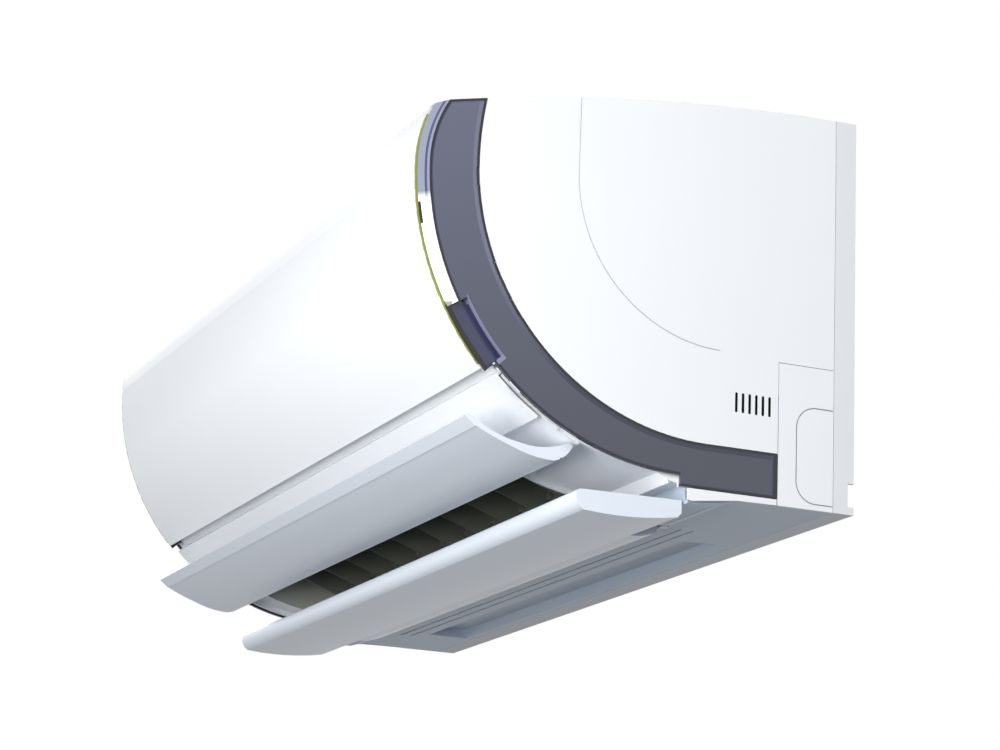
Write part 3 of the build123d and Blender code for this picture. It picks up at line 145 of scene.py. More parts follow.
def plastic(name, swatch, rough, grain=0.4, depth=0.01, swell=0.04, shade=0.03, coat=0.0):
    """Moulded plastic. Grain, and the relief of the grain and the swell, in millimetres."""
    made, tree, shader = new_material(name, Coat_Weight=coat, Coat_Roughness=0.08, IOR=1.5)
    place = position(tree)
    slow = {"Vector": place, "Scale": 1 / (SWELL_LENGTH * MM), "Detail": 2.0}
    cloud = add(tree, "TexNoise", slow)
    spark = add(tree, "TexNoise", {"Vector": place, "Scale": 1 / (grain * MM), "Detail": 2.0})
    tones = {"Factor": cloud, "A": swatch, "B": linear(swatch, shade)}
    tint = add(tree, "Mix", tones, data_type="RGBA")
    low, high = rough * (1 - GLOSS_SPREAD), rough * (1 + GLOSS_SPREAD)
    gloss = add(tree, "MapRange", {"Value": spark, "To Min": low, "To Max": high})
    wave = add(tree, "Bump", {"Height": cloud, "Distance": swell * MM, "Strength": 1.0})
    relief = {"Height": spark, "Distance": depth * MM, "Strength": 1.0, "Normal": wave}
    fine = add(tree, "Bump", relief)
    feed(tree, shader, {"Base Color": tint, "Roughness": gloss, "Normal": fine})
    return made


coarse = {"grain": 0.7, "depth": 0.02}
looks = {
    "casing_white": plastic("ABS casing, fine spark grain", "#F3F4F6", 0.38),
    "chassis_white": plastic("Polystyrene chassis", "#E6E8EA", 0.5, grain=0.6, depth=0.015),
    "panel_white": plastic(
        "ABS panel, polished mould", "#F1F3F6", 0.24, depth=0.002, swell=0.06, coat=0.05
    ),
    # painted shade: the white underside is drawn grey-blue, as it looks when facing down
    "underside_grey": plastic("Polystyrene underside, grey-blue painted shade", "#BAC6D4", 0.42, grain=0.5),
    "cap_white": plastic("Screw cap", "#F2F3F4", 0.4),
    # painted shade: the white flaps are drawn a pale blue-grey, as they look facing down
    "flap_white": plastic("ABS flap, satin, blue-grey painted shade", "#E1E8F1", 0.3, depth=0.004),
    # painted light: the black louvers are drawn grey, standing in for the light that fills the
    # mouth
    "louver_black": plastic("Acetal louver, black, drawn grey with painted light", "#70746A", 0.45, shade=0.15),
    "fan_grey": plastic(
        "Glass-filled fan, grey", "#4A4E55", 0.55, grain=0.8, depth=0.03, shade=0.12
    ),
    "motor_resin": plastic(
        "Moulding compound of the motor", "#D9D4C6", 0.6, grain=0.9, depth=0.03
    ),
    "inner_grey": plastic("Polystyrene inner piece", "#D4D7DB", 0.55, **coarse),
    "box_grey": plastic("Flame-resistant box", "#DEDDD8", 0.55, **coarse),
    "terminal_black": plastic("Phenolic terminal block", "#232323", 0.5, shade=0.15),
    "bearing_rubber": plastic(
        "Bearing rubber", "#1C1C1D", 0.75, grain=0.9, depth=0.05, shade=0.2
    ),
}
print("plastics", len(looks))


# %% [markdown]
# ## Metal
# Galvanised sheet shows spangle, the flat crystals of its zinc coat, 6 mm across.
# Drawn copper, turned brass and rolled tinplate show fine scratches along or around
# the piece. Voronoi cells make the spangle, and noise that is stretched along one axis
# makes the scratches. Metals keep the default IOR: their colour is their reflection.

# %% Metal materials
SCRATCH_WIDTH = 0.5  # mm, coarser than real ones, so that they show
SCRATCH_DEPTH = 0.004  # mm


def metal(name, swatch, rough, stretch, spangle=0.0):
    """Metal with scratches drawn out along one axis, and spangle where it has a zinc coat."""
    made, tree, shader = new_material(name, Metallic=1.0)
    place = position(tree)
    drawn = add(tree, "Mapping", {"Vector": place, "Scale": stretch})
    fine = {"Vector": drawn, "Scale": 1 / (SCRATCH_WIDTH * MM), "Detail": 3.0}
    lines = add(tree, "TexNoise", fine)
    tone = lines
    if spangle:
        cells = add(tree, "TexVoronoi", {"Vector": place, "Scale": 1 / (spangle * MM)})
        tone = add(tree, "RGBToBW", {"Color": cells.outputs["Color"]})
    tones = {"Factor": tone, "A": swatch, "B": linear(swatch, 0.2)}
    tint = add(tree, "Mix", tones, data_type="RGBA")
    gloss = add(tree, "MapRange", {"Value": tone, "To Min": rough * 0.8, "To Max": rough * 1.3})
    bump = add(tree, "Bump", {"Height": lines, "Distance": SCRATCH_DEPTH * MM, "Strength": 1.0})
    feed(tree, shader, {"Base Color": tint, "Roughness": gloss, "Normal": bump})
    return made


metals = {
    "galvanised_steel": metal("Galvanised steel sheet", "#C3C8CC", 0.42, (1, 1, 1), spangle=6.0),
    "motor_tin": metal("Tin-plated motor can", "#C9CBCD", 0.3, (1, 0.1, 1)),
    "shaft_steel": metal("Ground steel shaft", "#BFC1C4", 0.22, (1, 0.05, 0.05)),
    "copper": metal("Drawn copper tube", "#C98563", 0.28, (0.1, 1, 1)),
    "brass": metal("Turned brass nut", "#C8A862", 0.25, (1, 0.05, 0.05)),
}
looks |= metals
print("metals", len(metals))


# %% [markdown]
# ## Fins, mesh and board
# Three inner pieces have a pattern of their own. The coil's fins stand 1.4 mm apart,
# the dust filter is a square mesh of 1.2 mm, and the circuit board has copper tracks
# under a green lacquer. Modelling them would take millions of faces for pieces that
# the cabinet hides, so each pattern is drawn by waves or cells of the real pitch.

# %% Patterned materials
FIN_PITCH = 1.4  # mm
MESH_PITCH = 1.2  # mm
TRACK_CELL = 3.0  # mm
TRACK_EDGE = 0.45  # share of a cell at which a track begins


def waves(tree, place, axis, pitch):
    """A value from 0 to 1 that rises and falls once in each pitch along an axis."""
    along = add(tree, "SeparateXYZ", {"Vector": place}).outputs[axis]
    turn = add(tree, "Math", {0: along, 1: 2 * math.pi / (pitch * MM)}, operation="MULTIPLY")
    sine = add(tree, "Math", {0: turn}, operation="SINE")
    return add(tree, "MapRange", {"Value": sine, "From Min": -1.0})


def fins(tree, place):
    return waves(tree, place, "X", FIN_PITCH)


def mesh(tree, place):
    threads = {0: waves(tree, place, "X", MESH_PITCH), 1: waves(tree, place, "Z", MESH_PITCH)}
    return add(tree, "Math", threads, operation="MAXIMUM")


def tracks(tree, place):
    squares = {"Vector": place, "Scale": 1 / (TRACK_CELL * MM)}
    cells = add(tree, "TexVoronoi", squares, distance="CHEBYCHEV")
    return add(tree, "Math", {0: cells, 1: TRACK_EDGE}, operation="GREATER_THAN")


def patterned(name, low, high, rough, metallic, pattern):
    """Material whose colour and relief follow the value that a pattern returns."""
    made, tree, shader = new_material(name, Metallic=metallic, Roughness=rough)
    value = pattern(tree, position(tree))
    tint = add(tree, "Mix", {"Factor": value, "A": low, "B": high}, data_type="RGBA")
    bump = add(tree, "Bump", {"Height": value, "Distance": 0.2 * MM, "Strength": 0.8})
    feed(tree, shader, {"Base Color": tint, "Normal": bump})
    return made


patterns = {
    "fin_aluminium": patterned("Aluminium fins", "#6F777D", "#D5DCE0", 0.35, 1.0, fins),
    "filter_grey": patterned("Filter mesh, polypropylene", "#2E3136", "#5B6068", 0.6, 0.0, mesh),
    "board_green": patterned(
        "Circuit board, green lacquer", "#1D5034", "#2E7048", 0.3, 0.0, tracks
    ),
}
looks |= patterns
print("patterned", len(patterns))

# %% [markdown]
# ## Measuring from the cabinet's arcs
# The cabinet's end is drawn by a few arcs, and so are its finishes: a dark outline on
# the band, paint inside the duct, a light lip. A material that knows how far it is from
# an arc can follow it exactly at any size, which no painted picture could do. These
# helpers give that distance in millimetres from the same centres that the CAD uses.

# %% Distance helpers
FRONT_CENTRE = (146.0, 222.0)  # depth and level of the panel's arc
FRONT_RADIUS = 217.0
BROW_CENTRE = (259.2, 222.0)  # the tighter arc above it, up to the top's corner
BROW_RADIUS = 103.8
TOP_CENTRE = (-16.3, -1265.4)  # the top's wide crown, centred far below
TOP_RADIUS = 1577.5


def reach(tree, place, centre):
    """Distance in millimetres from a line across the cabinet, given by depth and level."""
    off = add(tree, "VectorMath", {0: place, 1: point(*centre)}, operation="SUBTRACT")
    flat = add(tree, "VectorMath", {0: off, 1: (0.0, 1 / MM, 1 / MM)}, operation="MULTIPLY")
    return add(tree, "VectorMath", {0: flat}, operation="LENGTH")


def depth_and_level(tree, place):
    """Millimetres out from the wall and up from the underside."""
    apart = add(tree, "SeparateXYZ", {"Vector": place})
    depth = add(tree, "Math", {0: apart.outputs["Y"], 1: -1 / MM}, operation="MULTIPLY")
    rise = {0: apart.outputs["Z"], 1: 1 / MM, 2: -UNDERSIDE}
    return depth, add(tree, "Math", rise, operation="MULTIPLY_ADD")


def off_middle(tree, place):
    """Millimetres from the cabinet's middle, the same to the right and to the left."""
    across = add(tree, "SeparateXYZ", {"Vector": place}).outputs["X"]
    away = add(tree, "Math", {0: across}, operation="ABSOLUTE")
    return add(tree, "Math", {0: away, 1: 1 / MM}, operation="MULTIPLY")


def within(tree, value, low, high):
    """One where a value is between two numbers, and zero elsewhere."""
    above = add(tree, "Math", {0: value, 1: low}, operation="GREATER_THAN")
    below = add(tree, "Math", {0: value, 1: high}, operation="LESS_THAN")
    return add(tree, "Math", {0: above, 1: below}, operation="MULTIPLY")


def fade(tree, value, start, full, first, second):
    """Colour that turns into another while a value runs between two numbers."""
    ramp = add(tree, "MapRange", {"Value": value, "From Min": start, "From Max": full})
    return add(tree, "Mix", {"Factor": ramp, "A": first, "B": second}, data_type="RGBA")


print("distances are measured from", FRONT_CENTRE, BROW_CENTRE, TOP_CENTRE)

# %% [markdown]
# ## The band's edges
# The side band is a plate between two outlines. Each has an arc in front, a second arc
# above the first one's centre, and a level foot behind it. One function measures from
# either of them. At the top the band ends in the cabinet's crown, and at the back in
# the pipe cover.

# %% Distances on the band
BAND_INSET = 8.5  # from the panel's arcs in to the band's outer edge
BAND_FOOT = 5.0  # level of the band's lower edge
BAND_END = 65.5  # depth at which the band meets the pipe cover
BAND_CENTRE = (125.0, 230.0)  # the band's inner edge, and its gentler arc higher up
BAND_RADIUS = 191.0
BAND_HIGH_CENTRE = (56.0, 230.0)
BAND_HIGH_RADIUS = 260.0
OUTER_ARCS = (
    (FRONT_CENTRE, FRONT_RADIUS - BAND_INSET),
    (BROW_CENTRE, BROW_RADIUS - BAND_INSET),
)
INNER_ARCS = ((BAND_CENTRE, BAND_RADIUS), (BAND_HIGH_CENTRE, BAND_HIGH_RADIUS))


def inside_outline(tree, place, arcs, foot):
    """Millimetres inside an outline of a low arc, a high arc and a level foot."""
    depth, level = depth_and_level(tree, place)
    low, high = (
        add(tree, "Math", {0: radius, 1: reach(tree, place, centre)}, operation="SUBTRACT")
        for centre, radius in arcs
    )
    front_depth, arc_level = arcs[0][0]
    raised = add(tree, "Math", {0: level, 1: arc_level}, operation="GREATER_THAN")
    front = add(tree, "Mix", {"Factor": raised, "A": low, "B": high})
    rear = add(tree, "Math", {0: level, 1: foot}, operation="SUBTRACT")
    forward = add(tree, "Math", {0: depth, 1: front_depth}, operation="GREATER_THAN")
    return add(tree, "Mix", {"Factor": forward, "A": rear, "B": front})


def from_outer_edge(tree, place):
    """Millimetres inside the band's outer edge. Outside, on the lip, it is negative."""
    return inside_outline(tree, place, OUTER_ARCS, BAND_FOOT)


def from_inner_edge(tree, place):
    """Millimetres outside the outline that the band's inner edge follows."""
    deep = inside_outline(tree, place, INNER_ARCS, BAND_CENTRE[1] - BAND_RADIUS)
    return add(tree, "Math", {0: deep, 1: -1.0}, operation="MULTIPLY")


def from_ends(tree, place):
    """Millimetres from the top, or half of those from the end at the pipe cover."""
    depth, level = depth_and_level(tree, place)
    top = {0: TOP_RADIUS, 1: reach(tree, place, TOP_CENTRE)}
    end = add(tree, "Math", {0: depth, 1: BAND_END}, operation="SUBTRACT")
    half = add(tree, "Math", {0: end, 1: 0.5}, operation="MULTIPLY")
    nearest = {0: add(tree, "Math", top, operation="SUBTRACT"), 1: half}
    return add(tree, "Math", nearest, operation="MINIMUM")


def degrees_below(tree, place):
    """Degrees below the front arc's centre, as the finger grip is measured."""
    depth, level = depth_and_level(tree, place)
    drop = add(tree, "Math", {0: FRONT_CENTRE[1], 1: level}, operation="SUBTRACT")
    out = add(tree, "Math", {0: depth, 1: FRONT_CENTRE[0]}, operation="SUBTRACT")
    turn = add(tree, "Math", {0: drop, 1: out}, operation="ARCTAN2")
    return add(tree, "Math", {0: turn, 1: 180 / math.pi}, operation="MULTIPLY")


band_width = FRONT_CENTRE[0] + FRONT_RADIUS - BAND_INSET - BAND_CENTRE[0] - BAND_RADIUS
print("the band is", band_width, "mm wide in front")

# %% [markdown]
# ## Smoked acrylic
# The side band is smoked acrylic: grey-blue, glossy and a little see-through. Light
# that enters a thick clear sheet leaves it at the edges, so the face looks flat while
# its outlines turn almost black. Real absorption would need a long time to render
# clean, and it hides the effect on a 3 mm wall. So the tint is in the colour, a small
# transmission gives depth, and the outline is drawn within 2.2 mm of the nearest edge.
# The lip in front of the band is the same sheet, clear: it shows the white behind it.

# %% The band's face
FACE_TURN = (30.0, 300.0)  # levels between which the face grows lighter
BEVEL_TURN = (70.0, 150.0)  # levels between which the bevel's painted shade turns into a painted highlight
OUTLINE = (2.2, 1.5)  # distances in mm from an edge where the outline starts and is full
GLOW = (3.0, 1.8)  # navy glow beside the outer outline
BEVEL = (5.5, 4.5)  # painted shade and highlight of the bevel along the inner edge
GRIP_ANGLES = (29.0, 44.5)  # degrees below the front arc's centre
GRIP_LINE = (8.0, 8.7)  # glint along the grip's floor, mm from the outer edge
GRIP_END = ((1.2, 8.9), (43.5, 44.5))  # glint across the grip's lower end

band, tree, shader = new_material(
    "Smoked acrylic",
    Roughness=0.07,
    IOR=1.49,
    Transmission_Weight=0.2,
    Coat_Weight=0.5,
    Coat_Roughness=0.03,
)
place = position(tree)
depth, level = depth_and_level(tree, place)
outer = from_outer_edge(tree, place)
inner = from_inner_edge(tree, place)
edge = add(tree, "Math", {0: outer, 1: from_ends(tree, place)}, operation="MINIMUM")
angle = degrees_below(tree, place)
face = fade(tree, level, *FACE_TURN, "#4C4F5E", "#676B83")
# painted shade low on the bevel, turning into a painted highlight higher up
bevel = fade(tree, level, *BEVEL_TURN, "#33354C", "#74788D")
for distance, ramp, colour in (
    (inner, BEVEL, bevel),
    (edge, GLOW, "#42446A"),
    (edge, OUTLINE, "#0A0B1C"),
    (inner, OUTLINE, "#0A0B1C"),
):
    face = fade(tree, distance, *ramp, face, colour)
glints = []
for distances, angles in ((GRIP_LINE, GRIP_ANGLES), GRIP_END):
    spot = {0: within(tree, outer, *distances), 1: within(tree, angle, *angles)}
    glints.append(add(tree, "Math", spot, operation="MULTIPLY"))
glint = add(tree, "Math", dict(enumerate(glints)), operation="MAXIMUM")
face = add(tree, "Mix", {"Factor": glint, "A": face, "B": "#8F92AE"}, data_type="RGBA")
print("the band's face fades from", OUTLINE[0], "mm inside its edges")

# %% [markdown]
# ## The lip and the finger grip
# Seen through the sloping lip the white casing shows, with a painted highlight below, painted
# shade above and a painted line of light and shade where the sheet bends. The finger grip
# is a pocket in that lip. Its floor is dark navy, and darker still, in painted shade, where
# the panel's end covers it.

# %% The band's lip and grip
LIP_TURN = (194.0, 199.0)  # levels between which the lip's painted highlight gives way to painted shade
LIP_LINE = (-3.0, -1.6)  # the painted line of light and shade at the bend, mm from the outer edge
LIP_START = -0.2  # the lip starts just outside the outer edge
POCKET_TOP = 119.5  # level under which the grip's pocket begins
POCKET_FLOOR = 395.5  # the pocket's floor lies within this distance from the middle
POCKET_SHADE = -4.0  # painted shade where the panel's end covers the floor, mm from the outer edge

lip = fade(tree, level, *LIP_TURN, "#F2F4FA", "#8A90A4")
bend = fade(tree, level, *LIP_TURN, "#C4C8DE", "#444A72")
line = {"Factor": within(tree, outer, *LIP_LINE), "A": lip, "B": bend}
lip = add(tree, "Mix", line, data_type="RGBA")
sunk = {0: off_middle(tree, place), 1: POCKET_FLOOR}
under = {0: level, 1: POCKET_TOP}
both = {
    0: add(tree, "Math", sunk, operation="LESS_THAN"),
    1: add(tree, "Math", under, operation="LESS_THAN"),
}
pocket = add(tree, "Math", both, operation="MULTIPLY")
# painted shade on the pocket's floor where the panel's end covers it
covered = add(tree, "Math", {0: outer, 1: POCKET_SHADE}, operation="LESS_THAN")
base = add(tree, "Mix", {"Factor": covered, "A": "#3A3C5C", "B": "#141419"}, data_type="RGBA")
on_lip = add(tree, "Math", {0: outer, 1: LIP_START}, operation="LESS_THAN")
shade = add(tree, "Mix", {"Factor": on_lip, "A": face, "B": lip}, data_type="RGBA")
shade = add(tree, "Mix", {"Factor": pocket, "A": shade, "B": base}, data_type="RGBA")
feed(tree, shader, {"Base Color": shade})
looks["smoked_clear"] = band
print("the lip turns dark between levels", LIP_TURN)

# %% [markdown]
# ## The receiver's lens
# Infrared passes through a lens that looks almost black, since its dye stops visible
# light. It is glossy acrylic with a slight cloud of 4 mm in the dye.

# %% The receiver's lens
lens, tree, shader = new_material(
    "Infrared lens, dark acrylic", Roughness=0.05, IOR=1.49, Transmission_Weight=0.3
)
cloud = add(tree, "TexNoise", {"Vector": position(tree), "Scale": 1 / (4 * MM)})
dye = add(tree, "Mix", {"Factor": cloud, "A": "#2B2226", "B": "#1F191C"}, data_type="RGBA")
feed(tree, shader, {"Base Color": dye})
looks["lens_dark"] = lens
print("materials so far", len(looks))

# %% [markdown]
# ## Dress the CAD nodes
# Each CAD node says in the record which finish it has. The loop reads that, so a node
# that is added to the cabinet later takes its finish without a new line here.

# %% Assign the finishes
for entry in frame["record"]["subparts"]:
    node = frame["nodes"][entry["node"]]
    node.data.materials.clear()
    node.data.materials.append(looks[entry["material_slot"]])

# %% [markdown]
# ## The grey duct, with painted light
# Air leaves through a duct that is moulded with the white outlet frame. A second
# material for one node could be given face by face, but the CAD mesh is never edited.
# The grey is drawn by place instead: everything on the frame well inside the panel's
# arc is grey, and so are the chassis faces that look towards the fan. The grey is darker
# than the white frame, as the duct's own dark grey is, and lighter than that, as painted
# light standing in for the light that fills the duct.

# %% Duct paint
# painted light: the duct's grey is lighter than its own dark grey, for the light that fills it
DUCT_GREY = "#B0B4A8"
DUCT_RIM = (199.0, 198.0)  # the grey starts and is full at these distances, mm
CHAMBER_CENTRE = (198.0, 110.0)  # round space about the fan
CHAMBER_RIM = (112.0, 111.0)
FAN_CENTRE = (178.0, 118.0)


def painted(name, source, where, swatch):
    """Copy of a material with another colour where a value is one."""
    made = source.copy()
    made.name = name
    tree = made.node_tree
    shader = tree.nodes["Principled BSDF"]
    old = shader.inputs["Base Color"].links[0].from_socket
    colours = {"Factor": where(tree, position(tree)), "A": old, "B": swatch}
    feed(tree, shader, {"Base Color": add(tree, "Mix", colours, data_type="RGBA")})
    return made


def close_to(tree, place, centre, rim):
    """One near a line across the cabinet, fading to zero at a rim."""
    ramp = {"Value": reach(tree, place, centre), "From Min": rim[0], "From Max": rim[1]}
    return add(tree, "MapRange", ramp)


def duct_side(tree, place):
    return close_to(tree, place, FRONT_CENTRE, DUCT_RIM)


def fan_side(tree, place):
    """Near the fan, on faces that look towards it."""
    normal = add(tree, "NewGeometry").outputs["Normal"]
    off = add(tree, "VectorMath", {0: place, 1: point(*FAN_CENTRE)}, operation="SUBTRACT")
    facing = add(tree, "VectorMath", {0: off, 1: normal}, operation="DOT_PRODUCT")
    inward = add(tree, "Math", {0: facing, 1: 0.0}, operation="LESS_THAN")
    both = {0: close_to(tree, place, CHAMBER_CENTRE, CHAMBER_RIM), 1: inward}
    return add(tree, "Math", both, operation="MULTIPLY")


for node, name, source, where in (
    ("outlet_frame", "ABS outlet frame, duct painted dark", "casing_white", duct_side),
    ("rear_chassis", "Polystyrene chassis, duct painted dark", "chassis_white", fan_side),
):
    frame["nodes"][node].data.materials[0] = painted(name, looks[source], where, DUCT_GREY)
print("duct painted", DUCT_GREY)

# %% [markdown]
# ## Grooves and slots of the side
# A crease 0.6 mm deep and the line of the pipe's knock-out are too fine for soft lamps
# to shade. Whatever lies just below the side's outer face is therefore given painted
# shade, a tone darker. The walls of the cooling slots are painted nearly black, as
# painted shade, since no light comes back from behind them.

# %% Groove paint
OUTER_FACE = 398.9  # the side's outer face is 0.1 mm farther from the middle
GROOVE_FLOOR = 398.2
KNOCKOUT_TOP = 85.0  # level above which nothing is drawn on the pipe cover
SLOT_DEPTHS = (70.0, 104.0)
SLOT_LEVELS = (65.0, 84.0)


def in_groove(tree, place):
    return within(tree, off_middle(tree, place), GROOVE_FLOOR, OUTER_FACE)


def in_knockout(tree, place):
    depth, level = depth_and_level(tree, place)
    low = add(tree, "Math", {0: level, 1: KNOCKOUT_TOP}, operation="LESS_THAN")
    return add(tree, "Math", {0: in_groove(tree, place), 1: low}, operation="MULTIPLY")


def in_slots(tree, place):
    depth, level = depth_and_level(tree, place)
    sides = {0: within(tree, depth, *SLOT_DEPTHS), 1: within(tree, level, *SLOT_LEVELS)}
    window = add(tree, "Math", sides, operation="MULTIPLY")
    sunk = {0: off_middle(tree, place), 1: OUTER_FACE}
    both = {0: window, 1: add(tree, "Math", sunk, operation="LESS_THAN")}
    return add(tree, "Math", both, operation="MULTIPLY")


casing = looks["casing_white"]
# painted shade in the crease and the knock-out line, and nearly black on the slot walls
creased = painted("ABS casing, shaded crease", casing, in_groove, "#D0D3D7")
slotted = painted("ABS casing, shaded crease and slots", creased, in_slots, "#101112")
knockout = painted("ABS cover, shaded knock-out line", casing, in_knockout, "#A2A5A8")
for node, finish in (
    ("side_casing_left", creased),
    ("side_casing_right", slotted),
    ("corner_cover_right", knockout),
    ("corner_cover_left", knockout),
):
    frame["nodes"][node].data.materials[0] = finish
print("grooves shaded between", GROOVE_FLOOR, "and", OUTER_FACE, "mm from the middle")

# %% [markdown]
# ## Painted shade on the panel's crown and top edge
# The panel ends at the top in a small rounded edge. Its shade shows as a fine grey line,
# without which a white panel has no outline in front of a white ground. The CAD edge is
# sharp, so the line is painted shade, coloured by level. The crown below it faces the
# lamps squarely and would bleach, so it is given painted shade a tone deeper.

# %% Crown and top edge
CROWN = (160.0, 258.0)  # levels between which the painted shade grows deeper
EDGE_DEPTHS = (349.6, 350.4)  # depths between which the line sets in
EDGE_LEVELS = (265.4, 267.2)  # and levels


def crown(tree, place):
    depth, level = depth_and_level(tree, place)
    return add(tree, "MapRange", {"Value": level, "From Min": CROWN[0], "From Max": CROWN[1]})


def top_edge(tree, place):
    ramps = [
        add(tree, "MapRange", {"Value": value, "From Min": start, "From Max": full})
        for value, (start, full) in zip(depth_and_level(tree, place), (EDGE_DEPTHS, EDGE_LEVELS))
    ]
    return add(tree, "Math", dict(enumerate(ramps)), operation="MULTIPLY")


# painted shade on the crown, and along the top edge
deeper = painted("ABS panel, crown in painted shade", looks["panel_white"], crown, "#CDD1D7")
edged = painted("ABS panel, shaded top edge", deeper, top_edge, "#A4A9B0")
frame["nodes"]["front_panel"].data.materials[0] = edged
print("crown deepens from level", CROWN[0], "to", CROWN[1])

# %% [markdown]
# ## Edge of the panel
# The front panel is white behind a clear acrylic sheet. Seen end on, a clear sheet
# glows olive, because light runs through it lengthwise. The edge is a thin strip that
# follows the panel's two arcs. It could be an extruded curve, but a spin of one small
# rectangle gives exact arcs about the same centres as the CAD panel.

# %% Panel edge strips
EDGE_WIDTH = 2.3
EDGE_SINK = 0.05  # the strip stays this far under the panel's face
EDGE_REACH = (389.4, 390.9)  # from the middle, just outside the panel's end
LOWER_SWEEP = (0.0, 42.0)  # degrees below the arcs' centres
UPPER_SWEEP = (-21.5, 0.0)


def mesh_piece(name, bm, material, body):
    """Object from a bmesh, with outward normals, riding on a body."""
    bmesh.ops.remove_doubles(bm, verts=bm.verts, dist=0.001 * MM)
    bmesh.ops.recalc_face_normals(bm, faces=bm.faces)
    data = bpy.data.meshes.new(name)
    bm.to_mesh(data)
    bm.free()
    data.materials.append(material)
    made = bpy.data.objects.new(name, data)
    bpy.context.scene.collection.objects.link(made)
    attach(made, body)
    return made


def arc_strip(bm, side, centre, across, radii, degrees, steps):
    """Spins a rectangle about a line across the cabinet, between two angles below it."""
    near, far = sorted(side * distance for distance in across)
    size = ((far - near) / 2 * MM, (radii[1] - radii[0]) / 2 * MM, 1)
    middle = Vector(point(*centre))
    offset = Vector(((near + far) / 2 * MM, -(radii[0] + radii[1]) / 2 * MM, 0))
    made = bmesh.ops.create_grid(bm, x_segments=1, y_segments=1, size=1.0)["verts"]
    bmesh.ops.scale(bm, vec=size, verts=made)
    bmesh.ops.translate(bm, vec=offset + middle, verts=made)
    turn = Matrix.Rotation(math.radians(degrees[0]), 3, "X")
    bmesh.ops.rotate(bm, cent=middle, matrix=turn, verts=made)
    faces = [f for f in bm.faces if all(v in made for v in f.verts)]
    sweep = math.radians(degrees[1] - degrees[0])
    bmesh.ops.spin(bm, geom=faces, cent=middle, axis=(1, 0, 0), angle=sweep, steps=steps)


edge_clear, tree, shader = new_material(
    "Edge of clear acrylic", Roughness=0.12, IOR=1.49, Transmission_Weight=0.1
)
glow = add(tree, "TexNoise", {"Vector": position(tree), "Scale": 1 / (40 * MM)})
olive = add(tree, "Mix", {"Factor": glow, "A": "#A0A54E", "B": "#868B3C"}, data_type="RGBA")
feed(tree, shader, {"Base Color": olive})

for side, side_name in SIDES:
    for name, centre, radius, sweep, steps in (
        ("panel_edge", FRONT_CENTRE, FRONT_RADIUS, LOWER_SWEEP, 48),
        ("panel_brow_edge", BROW_CENTRE, BROW_RADIUS, UPPER_SWEEP, 24),
    ):
        strip = bmesh.new()
        radii = (radius - EDGE_WIDTH, radius - EDGE_SINK)
        arc_strip(strip, side, centre, EDGE_REACH, radii, sweep, steps)
        mesh_piece(f"{name}_{side_name}", strip, edge_clear, "front_panel")
print("panel edge strips ride on front_panel")

# %% [markdown]
# ## Hooks in the band
# Three hooks reach through windows in the band's inner edge and hold it. They are drawn
# black. A longer one beside the panel is the catch that keeps the panel shut. All are
# short arcs, so the same spin makes them. A box would do too, but its ends would leave
# the window.

# %% Hooks and catches
hook_black = plastic("Hook, drawn black", "#17181C", 0.4, shade=0.2)
HOOK_LEVELS = (120.5, 147.0, 216.0)
HOOK_HALF = 6.0  # half a hook's length, mm
HOOK_REACH = (396.6, 398.7)
HOOK_RADII = (BAND_RADIUS + 0.2, BAND_RADIUS + 2.1)
CATCH_LEVELS = (191.0, 175.0)
CATCH_REACH = (391.3, 393.2)
CATCH_RADII = (FRONT_RADIUS - 5.0, FRONT_RADIUS - 1.4)


def below(centre, radius, level):
    """Degrees below a centre at which its arc has a level."""
    return math.degrees(math.asin((centre[1] - level) / radius))


for side, side_name in SIDES:
    hooks, catch = bmesh.new(), bmesh.new()
    for height in HOOK_LEVELS:
        ends = (height + HOOK_HALF, height - HOOK_HALF)
        span = [below(BAND_CENTRE, BAND_RADIUS, end) for end in ends]
        arc_strip(hooks, side, BAND_CENTRE, HOOK_REACH, HOOK_RADII, span, 6)
    span = [below(FRONT_CENTRE, FRONT_RADIUS, height) for height in CATCH_LEVELS]
    arc_strip(catch, side, FRONT_CENTRE, CATCH_REACH, CATCH_RADII, span, 8)
    mesh_piece(f"band_hooks_{side_name}", hooks, hook_black, "cabinet")
    mesh_piece(f"panel_catch_{side_name}", catch, hook_black, "cabinet")
print("hooks at levels", HOOK_LEVELS, "on both bands")

# %% [markdown]
# ## Skirts under the band
# Below the band the underside turns up in a narrow white skirt. The CAD cover ends
# there in separate ribs, with slits that show dark from the side. The skirt is a flat
# plate in front of them: one face between six points, given a thickness by an extrude.
# A second, smaller plate closes the corner between the band and the outlet's rim.

# %% Skirts and corner plates
SKIRT = ((65.8, 0.05), (65.8, 4.4), (139.6, 4.4), (139.6, -4.2), (136.0, -4.9), (98.0, -0.4))
SKIRT_REACH = (397.6, 398.95)
CORNER = ((137.6, 1.0), (137.6, 26.0), (166.0, 26.0), (166.0, 15.0), (154.0, 9.0), (142.0, 6.0))
CORNER_REACH = (395.6, 395.9)


def plate(name, outline, start, end, body):
    """Flat plate across the cabinet between two distances from its middle."""
    bm = bmesh.new()
    face = bm.faces.new([bm.verts.new(point(depth, level, start)) for depth, level in outline])
    grown = bmesh.ops.extrude_face_region(bm, geom=[face])["geom"]
    moved = [part for part in grown if isinstance(part, bmesh.types.BMVert)]
    bmesh.ops.translate(bm, vec=((end - start) * MM, 0, 0), verts=moved)
    return mesh_piece(name, bm, looks["casing_white"], body)


for side, side_name in SIDES:
    for name, outline, across in (
        ("skirt", SKIRT, SKIRT_REACH),
        ("corner_plate", CORNER, CORNER_REACH),
    ):
        start, end = (side * distance for distance in across)
        plate(f"{name}_{side_name}", outline, start, end, "cabinet")
print("skirts from depth", SKIRT[0][0], "to", SKIRT[2][0], "mm")

